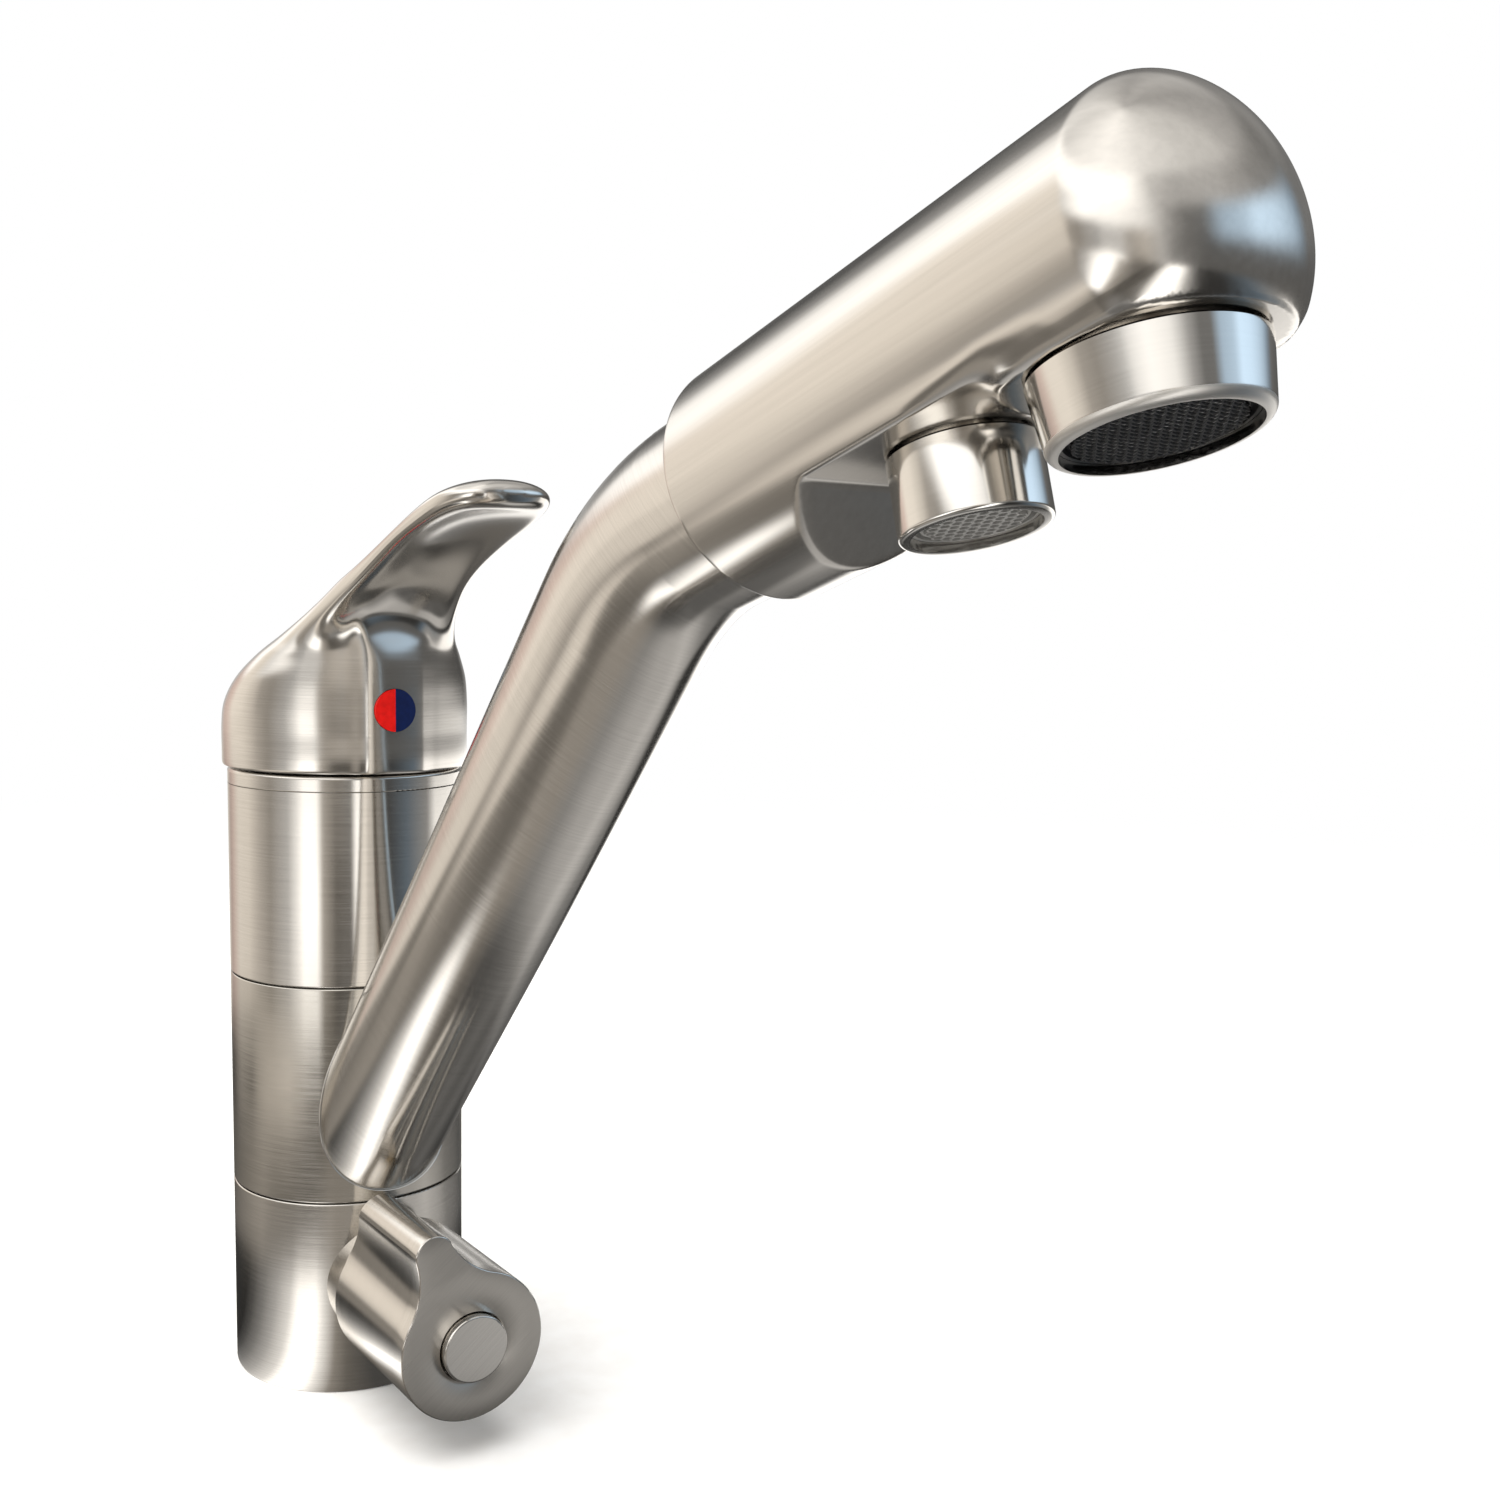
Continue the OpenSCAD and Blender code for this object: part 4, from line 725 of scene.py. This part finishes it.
front_y = -(SKIRT_R + BAND_PROUD)
seat = bmesh.new()
bmesh.ops.create_cone(seat, cap_ends=True, segments=72, radius1=MARKER_D / 2, radius2=MARKER_D / 2,
                      depth=MARKER_DEPTH * 2, matrix=Matrix.Translation((0, front_y, MARKER_Z))
                      @ Matrix.Rotation(math.pi / 2, 4, "X"))
seat_data = bpy.data.meshes.new("marker_seat")
seat.to_mesh(seat_data)
seat.free()
seat_data.transform(Matrix.Scale(MM, 4))
cutter = bpy.data.objects.new("marker_seat", seat_data)
bpy.context.scene.collection.objects.link(cutter)
cut = lever.modifiers.new("marker hole", "BOOLEAN")
cut.object = cutter
cut.operation = "DIFFERENCE"
bpy.context.view_layer.update()
cast = bpy.data.meshes.new_from_object(lever.evaluated_get(bpy.context.evaluated_depsgraph_get()))
lever.modifiers.clear()
lever.data = cast
cast.set_sharp_from_angle(angle=math.radians(40))
bpy.data.objects.remove(cutter)
print("lever faces after the hole:", len(cast.polygons))

# %% [markdown]
# ## The filter knob
# The knob is a bar of one outline, sawn off and brushed on its face. Its outline is a round
# part and one lobe, joined by hollows that touch both. The sharp edge of a machined part is
# always broken a little, and that narrow chamfer catches the light: it is the bright line
# round the face. So the outline is drawn as true arcs, and each point knows which way is out.

# %% Draw the knob's outline
KNOB_R = 15.1
KNOB_FACE = 63.8
KNOB_BACK = 29.9
LOBE_R = 4
LOBE_REACH = 25.8
LOBE_HOLLOW_R = 16
LOBE_SLOPE = math.radians(29)
LOBE_REST = math.radians(21.4)
VALVE_Z = 24
CAP_D = 13.6
CAP_DEPTH = 3
CAP_GAP = 0.3
CAP_EDGE = 0.25
EDGE = 0.35
SHAFT_R, SHAFT_END = 4.05, 17
RECESS_R, RECESS = 9, 6

lobe_y = LOBE_REACH - LOBE_R
far = KNOB_R + LOBE_HOLLOW_R
lean = math.acos((far ** 2 + lobe_y ** 2 - (LOBE_HOLLOW_R + LOBE_R) ** 2) / (2 * far * lobe_y))
hollow_at = (far * math.sin(lean), far * math.cos(lean))
touch = math.atan2(hollow_at[1] - lobe_y, hollow_at[0])


def arc(centre, radius, start, stop, count, inward=False):
    points = []
    for i in range(count):
        a = start + (stop - start) * i / count
        out = (math.cos(a), math.sin(a))
        at = (centre[0] + radius * out[0], centre[1] + radius * out[1])
        points.append((at, (-out[0], -out[1]) if inward else out))
    return points


right = (arc((0, lobe_y), LOBE_R, math.pi / 2, touch, 22)
         + arc(hollow_at, LOBE_HOLLOW_R, touch + math.pi, 3 * math.pi / 2 - lean, 22, True)
         + arc((0, 0), KNOB_R, math.pi / 2 - lean, -math.pi / 2, 56))
left = [((-at[0], at[1]), (-out[0], out[1])) for at, out in right[1:]]
outline = right + [((0, -KNOB_R), (0, -1))] + left[::-1]
print("outline points:", len(outline))

# %% [markdown]
# The lobe's back is cut away on a slope, so that it clears the body as it turns. The knob
# turns about the valve's axis, which points to the front. A matrix stands for that: its
# columns say where the outline's x, its y and the knob's length go.

# %% Cut the knob from its outline


def knob_loop(inset, height):
    return [(at[0] - inset * out[0], at[1] - inset * out[1], height) for at, out in outline]


slope_start = KNOB_R - LOBE_R / 2
back = [(x, y, KNOB_BACK + max(0, y - slope_start) * math.tan(LOBE_SLOPE))
        for x, y, z in knob_loop(0, 0)]
side = [back]
for i in range(1, 9):
    side.append([(x, y, z + (KNOB_FACE - EDGE - z) * i / 8) for x, y, z in back])
for i in range(1, 5):
    bend = math.pi / 2 * i / 4
    side.append(knob_loop(EDGE * (1 - math.cos(bend)), KNOB_FACE - EDGE * (1 - math.sin(bend))))
bm, made = loops_to_bmesh(side)


def bore(bm, steps, count=96):
    rings = [[bm.verts.new(p) for p in circle_points(r, z, count)] for r, z in steps]
    for low, high in zip(rings, rings[1:]):
        for i in range(count):
            bm.faces.new((low[i], low[(i + 1) % count], high[(i + 1) % count], high[i]))
    bm.faces.new(rings[-1])
    return rings[0]


def fill_between(bm, outer, inner):
    edges = [bm.edges.get((row[i], row[(i + 1) % len(row)])) for row in (outer, inner)
             for i in range(len(row))]
    bmesh.ops.triangle_fill(bm, use_beauty=True, edges=edges)


cap_r = (CAP_D + CAP_GAP) / 2
fill_between(bm, made[-1], bore(bm, [(cap_r + CAP_EDGE, KNOB_FACE), (cap_r, KNOB_FACE - CAP_EDGE),
                                     (cap_r, KNOB_FACE - CAP_DEPTH)]))
fill_between(bm, made[0], bore(bm, [(RECESS_R, KNOB_BACK), (RECESS_R, KNOB_BACK + RECESS),
                                    (SHAFT_R, KNOB_BACK + RECESS),
                                    (SHAFT_R, KNOB_FACE - SHAFT_END)]))
c, s = math.cos(LOBE_REST), math.sin(LOBE_REST)
knob_place = Matrix(((c, -s, 0, 0), (0, 0, -1, 0), (s, c, 0, VALVE_Z), (0, 0, 0, 1)))
knob = finish_piece(bm, "knob_casting", "knob", ["knob", "knob_face"],
                    "filter_knob", 50, knob_place)
for face in knob.data.polygons:
    if face.normal.y < -0.98:
        face.material_index = 1

# %% [markdown]
# ## The spout's head
# The head is cast in one piece with its seat for the main nozzle, and a belt has rounded its
# inner corners. The CAD has the same form with sharp corners and a faceted end. Here the skin
# is found point by point: from the head's axis we walk outwards until we leave the form. The
# form is a round bar with a rounded end, less the flat underside and its slope, plus the seat.
# Soft versions of "the larger of two" and "the smaller of two" make the rounded corners. A
# point of the head is given by x to the side, s along the head and t towards its top.

# %% Describe the head's form
HEAD_Y = -156.46
HEAD_Z = 186.97
HEAD_R = 17.3
HEAD_LEN = 84.6
DOME_LEN = 11.2
DOME_FULL = 1.08
MAIN_S = 66.8
FILTER_S = 38.2
CEILING_T = 9.3
SEAT_T = 10.5
SEAT_R = 14.5
SLOPE_START, CEILING_S = 14, 24.8
HEAD_LOW_R = 16.9
SEAT_FILLET = 5
SHARP = 0.4
EDGE_MIN, EDGE_MORE = 0.5, 2
EDGE_FROM, EDGE_RUN = 44, 14
STEP_HALF = 2


def larger(a, b, k):
    """The larger of two values, rounded off where they come within k of each other."""
    h = max(k - abs(a - b), 0) / k
    return max(a, b) + h * h * k / 4


def smaller(a, b, k):
    return -larger(-a, -b, k)


def round_radius(s):
    if s <= HEAD_LEN - DOME_LEN:
        return HEAD_R
    share = min((s - HEAD_LEN + DOME_LEN) / DOME_LEN, 1) ** (1 / DOME_FULL)
    return HEAD_R * max(1 - share * share, 0) ** (DOME_FULL / 2)


def outside_head(x, s, t):
    bar = math.hypot(x, t if t > 0 else t * HEAD_R / HEAD_LOW_R) - round_radius(s)
    fall = (HEAD_R - CEILING_T) / (CEILING_S - SLOPE_START)
    slope = (-t - CEILING_T - (CEILING_S - s) * fall) / math.hypot(1, fall)
    flat = -t - CEILING_T
    step = min(max((s - MAIN_S + STEP_HALF) / (2 * STEP_HALF), 0), 1)
    flat -= (SEAT_T - CEILING_T) * step * step * (3 - 2 * step)
    edge = EDGE_MIN + EDGE_MORE * min(max((s - EDGE_FROM) / EDGE_RUN, 0), 1)
    seat = larger(math.hypot(x, s - MAIN_S) - SEAT_R, -t - SEAT_T, SHARP)
    under = smaller(slope, flat, SHARP)
    return larger(bar, smaller(under, seat, SEAT_FILLET) if -t < SEAT_T else under, edge)


print("outside at the axis, mm:", round(outside_head(0, FILTER_S, 0), 1))
print("outside far below, mm:", round(outside_head(0, FILTER_S, -2 * HEAD_R), 1))

# %% [markdown]
# To find the skin in one direction, we halve the stretch between a point inside and a point
# outside, eighteen times. The directions are spread evenly, with a few more near the two
# corners of the flat underside, where the form turns quickly.

# %% Cast the head
HEAD_COLUMNS = 140
CORNER_COLUMNS = 8
CORNER_SPREAD = math.radians(0.45)
CORNER_SHIFT = 0.3
HEAD_EDGE = 0.5
EDGE_ROWS = 4
BAR_ROWS = 150
DOME_ROWS = 44
HALVINGS = 18


def head_place(x, s, t):
    beside = Vector((0, HEAD_Y, HEAD_Z)) + Vector((x, 0, 0))
    return beside + Vector(ALONG_HEAD) * s + Vector(ALONG_NOZZLE) * t


def skin_radius(s, turn):
    low, high = 0, round_radius(s) + 0.01
    for halving in range(HALVINGS):
        middle = (low + high) / 2
        if outside_head(middle * math.sin(turn), s, middle * math.cos(turn)) > 0:
            high = middle
        else:
            low = middle
    return low


corner = math.pi - math.acos(CEILING_T / HEAD_R)
turns = [2 * math.pi * i / HEAD_COLUMNS for i in range(HEAD_COLUMNS)]
turns += [side * corner % (2 * math.pi) + CORNER_SPREAD * (i - CORNER_COLUMNS / 2 + CORNER_SHIFT)
          for side in (1, -1) for i in range(CORNER_COLUMNS)]
turns.sort()
places = [HEAD_EDGE + (HEAD_LEN - DOME_LEN - HEAD_EDGE) * i / BAR_ROWS for i in range(BAR_ROWS)]
places += [HEAD_LEN - DOME_LEN + DOME_LEN * math.sin(math.pi / 2 * i / DOME_ROWS) ** DOME_FULL
           for i in range(DOME_ROWS)]
loops = []
edge_places = []
for i in range(EDGE_ROWS):
    bend = math.pi / 2 * i / EDGE_ROWS
    edge_places.append((HEAD_EDGE * (1 - math.cos(bend)), HEAD_EDGE,
                        HEAD_EDGE * (1 - math.sin(bend))))
for at, section, inset in edge_places + [(at, at, 0) for at in places]:
    radii = [skin_radius(section, a) - inset for a in turns]
    loops.append([(r * math.sin(a), at, r * math.cos(a)) for r, a in zip(radii, turns)])
loops = [[head_place(*p) for p in loop] for loop in loops]
bm, made = loops_to_bmesh(loops)
close_loop(bm, made[0], head_place(0, 0, 0))
close_loop(bm, made[-1], head_place(0, HEAD_LEN, 0))
finish_piece(bm, "head_casting", "spout", "head", "spout_head", 50)

# %% [markdown]
# ## The nozzle sleeves
# Both nozzles are turned on a lathe: a threaded neck, a sleeve and a rim whose outer corner is
# rounded for the hand that unscrews it. That round corner shows as the pale ring around the
# sieve. A profile of radius and depth is turned about the nozzle's own axis. Between the
# sleeve and the head stays the thin dark gap that the flat washer leaves.

# %% Turn the sleeves
SLEEVE_GAP = 0.3
SHOULDER = 1.55
NECK_WALL = 1.6
NECK_DEPTH = 4
TOP_EDGE = 0.3
RIM_WALL = 1.4
RIM_STEPS = 8
SLEEVE_STEPS = 160
DOWNWARD = -0.2


def nozzle_place(s):
    turn = Matrix((Vector((1, 0, 0)), Vector(ALONG_HEAD), -Vector(ALONG_NOZZLE))).transposed()
    return Matrix.Translation(head_place(0, s, 0)) @ turn.to_4x4()


def sleeve(name, node, s, seat, top_r, rim_r, long, rounded, rim_finish):
    top, end, neck = seat + SLEEVE_GAP, seat + long, top_r - SHOULDER
    inside = neck - NECK_WALL
    profile = [(inside, seat - NECK_DEPTH), (neck, seat - NECK_DEPTH), (neck, top),
               (top_r - TOP_EDGE, top), (top_r, top + TOP_EDGE)]
    for i in range(RIM_STEPS + 1):
        bend = math.pi / 2 * i / RIM_STEPS
        profile.append((rim_r - rounded * (1 - math.cos(bend)),
                        end - rounded * (1 - math.sin(bend))))
    profile += [(rim_r - RIM_WALL, end), (rim_r - RIM_WALL, top + 1), (inside, top + 1)]
    profile.append(profile[0])
    bm, made = loops_to_bmesh([circle_points(r, depth, SLEEVE_STEPS) for r, depth in profile])
    place, axis = nozzle_place(s), Vector(ALONG_NOZZLE)
    rim_start = (place @ Vector((0, 0, end - rounded))).dot(axis)
    piece = finish_piece(bm, name, "spout", ["nozzle", rim_finish], node, 40,
                         place)
    for face in piece.data.polygons:
        if face.center.dot(axis) / MM < rim_start and face.normal.dot(axis) < DOWNWARD:
            face.material_index = 1


sleeve("main_sleeve", "main_nozzle", MAIN_S, SEAT_T, 13, 12.1, 8.6, 1.25, "rim")
sleeve("filter_sleeve", "filter_nozzle", FILTER_S, CEILING_T, 9.4, 9.4, 10.4, 0.6, "nozzle")

# %% [markdown]
# ## The two sieves
# Inside each nozzle sits a plastic jet regulator. The large one is closed by a fine woven
# sieve, nearly black, and the small one by a moulded honeycomb. Both are modelled as they
# are: thin threads that cross, and thin walls round six-sided cells. The sieve's real pitch
# is about 0.5 mm. It is drawn at 0.8 mm, so that it still shows in the picture.

# %% Weave and mould the sieves
THREAD_PITCH = 0.8
THREAD_R = 0.17
THREAD_SIDES = 6
STEPS_PER_MM = 4
SIEVE_R, SIEVE_DEPTH = 9.2, 17.9
COMB_R, COMB_DEPTH = 6.5, 18.5
COMB_PITCH, COMB_WALL, COMB_RISE, COMB_PROUD = 1.5, 0.35, 0.4, 0.35


def thread(bm, start, stop, height, wave, steps):
    run = Vector(stop) - Vector(start)
    run.z = 0
    across = Vector((-run.y, run.x, 0)).normalized()
    angles = [2 * math.pi * k / THREAD_SIDES for k in range(THREAD_SIDES)]
    rings = []
    for i in range(steps + 1):
        at = Vector(start) + (Vector(stop) - Vector(start)) * i / steps
        at.z = height + wave(run.length * i / steps)
        rings.append([bm.verts.new(at + across * THREAD_R * math.cos(a)
                                   + Vector((0, 0, THREAD_R * math.sin(a)))) for a in angles])
    for low, high in zip(rings, rings[1:]):
        for k in range(THREAD_SIDES):
            j = (k + 1) % THREAD_SIDES
            bm.faces.new((low[k], low[j], high[j], high[k]))


def woven_sieve(radius, height):
    bm = bmesh.new()
    count = int(radius / THREAD_PITCH)
    for turn in (0, 1):
        for k in range(-count, count + 1):
            off = k * THREAD_PITCH
            reach = math.sqrt(max(radius ** 2 - off ** 2, 0.01))
            ends = [(-reach, off, 0), (reach, off, 0)]
            if turn:
                ends = [(off, -reach, 0), (off, reach, 0)]
            up = THREAD_R * (1 if (k + turn) % 2 else -1)

            def wave(d, up=up, reach=reach):
                return up * math.cos(math.pi * (d - reach) / THREAD_PITCH)
            thread(bm, ends[0], ends[1], height, wave,
                   max(STEPS_PER_MM, int(reach * STEPS_PER_MM)))
    return bm


def honeycomb(radius, height, pitch, wall, rise):
    bm = bmesh.new()
    cell = (pitch - wall) / math.sqrt(3)
    step = (pitch, pitch * math.sqrt(3) / 2)
    reach = int(radius / pitch) + 1
    for row in range(-reach - 1, reach + 2):
        for col in range(-reach - 1, reach + 2):
            cx, cy = (col + (row % 2) / 2) * step[0], row * step[1]
            if math.hypot(cx, cy) > radius - pitch * 0.35:
                continue
            angles = [math.radians(60 * k + 30) for k in range(6)]
            outer = cell + wall * 0.5
            rings = [[bm.verts.new((cx + r * math.cos(a), cy + r * math.sin(a), z))
                      for a in angles]
                     for r, z in ((outer, height - rise), (outer, height), (cell, height),
                                  (cell, height - rise))]
            for low, high in zip(rings, rings[1:]):
                for k in range(6):
                    bm.faces.new((low[k], low[(k + 1) % 6], high[(k + 1) % 6], high[k]))
    return bm


bm = woven_sieve(SIEVE_R, SIEVE_DEPTH + THREAD_R * 1.5)
finish_piece(bm, "main_sieve", "spout", "sieve_black",
             to_frame=nozzle_place(MAIN_S))
bm = honeycomb(COMB_R, COMB_DEPTH + COMB_PROUD, COMB_PITCH, COMB_WALL, COMB_RISE)
finish_piece(bm, "filter_sieve", "spout", "sieve_grey",
             to_frame=nozzle_place(FILTER_S))

# %% [markdown]
# ## The brazed line round the tube's foot
# Where the tube enters the collar it is brazed, and the joint is ground to a narrow bright
# line. Its path is the curve where two cylinders meet: for each direction round the tube we
# walk along the tube until we are on the collar's surface.

# %% Lay the brazed line
TUBE_R = 14.4
ROOT_Z = 65.5
LINE_R = 0.28
LINE_STEPS = 144
LINE_SIDES = 8
along = Vector(ALONG_TUBE)
upward = Vector((0, math.sin(TUBE_RISE), math.cos(TUBE_RISE)))
sideways = Vector((1, 0, 0))
path = []
for i in range(LINE_STEPS):
    a = 2 * math.pi * i / LINE_STEPS
    out = sideways * math.cos(a) + upward * math.sin(a)
    start = Vector((0, -BODY_R, ROOT_Z)) + out * TUBE_R
    reach = -(math.sqrt(BODY_R ** 2 - start.x ** 2) + start.y) / along.y
    at = start + along * reach
    path.append((at, out, Vector((at.x, at.y, 0)).normalized()))
loops = []
for k in range(LINE_SIDES):
    a = 2 * math.pi * k / LINE_SIDES
    loops.append([at + (out * math.cos(a) + wall * math.sin(a)) * LINE_R
                  for at, out, wall in path])
bm, made = loops_to_bmesh(loops + [loops[0]])
finish_piece(bm, "brazed_line", "spout", "cap", sharp_degrees=80)
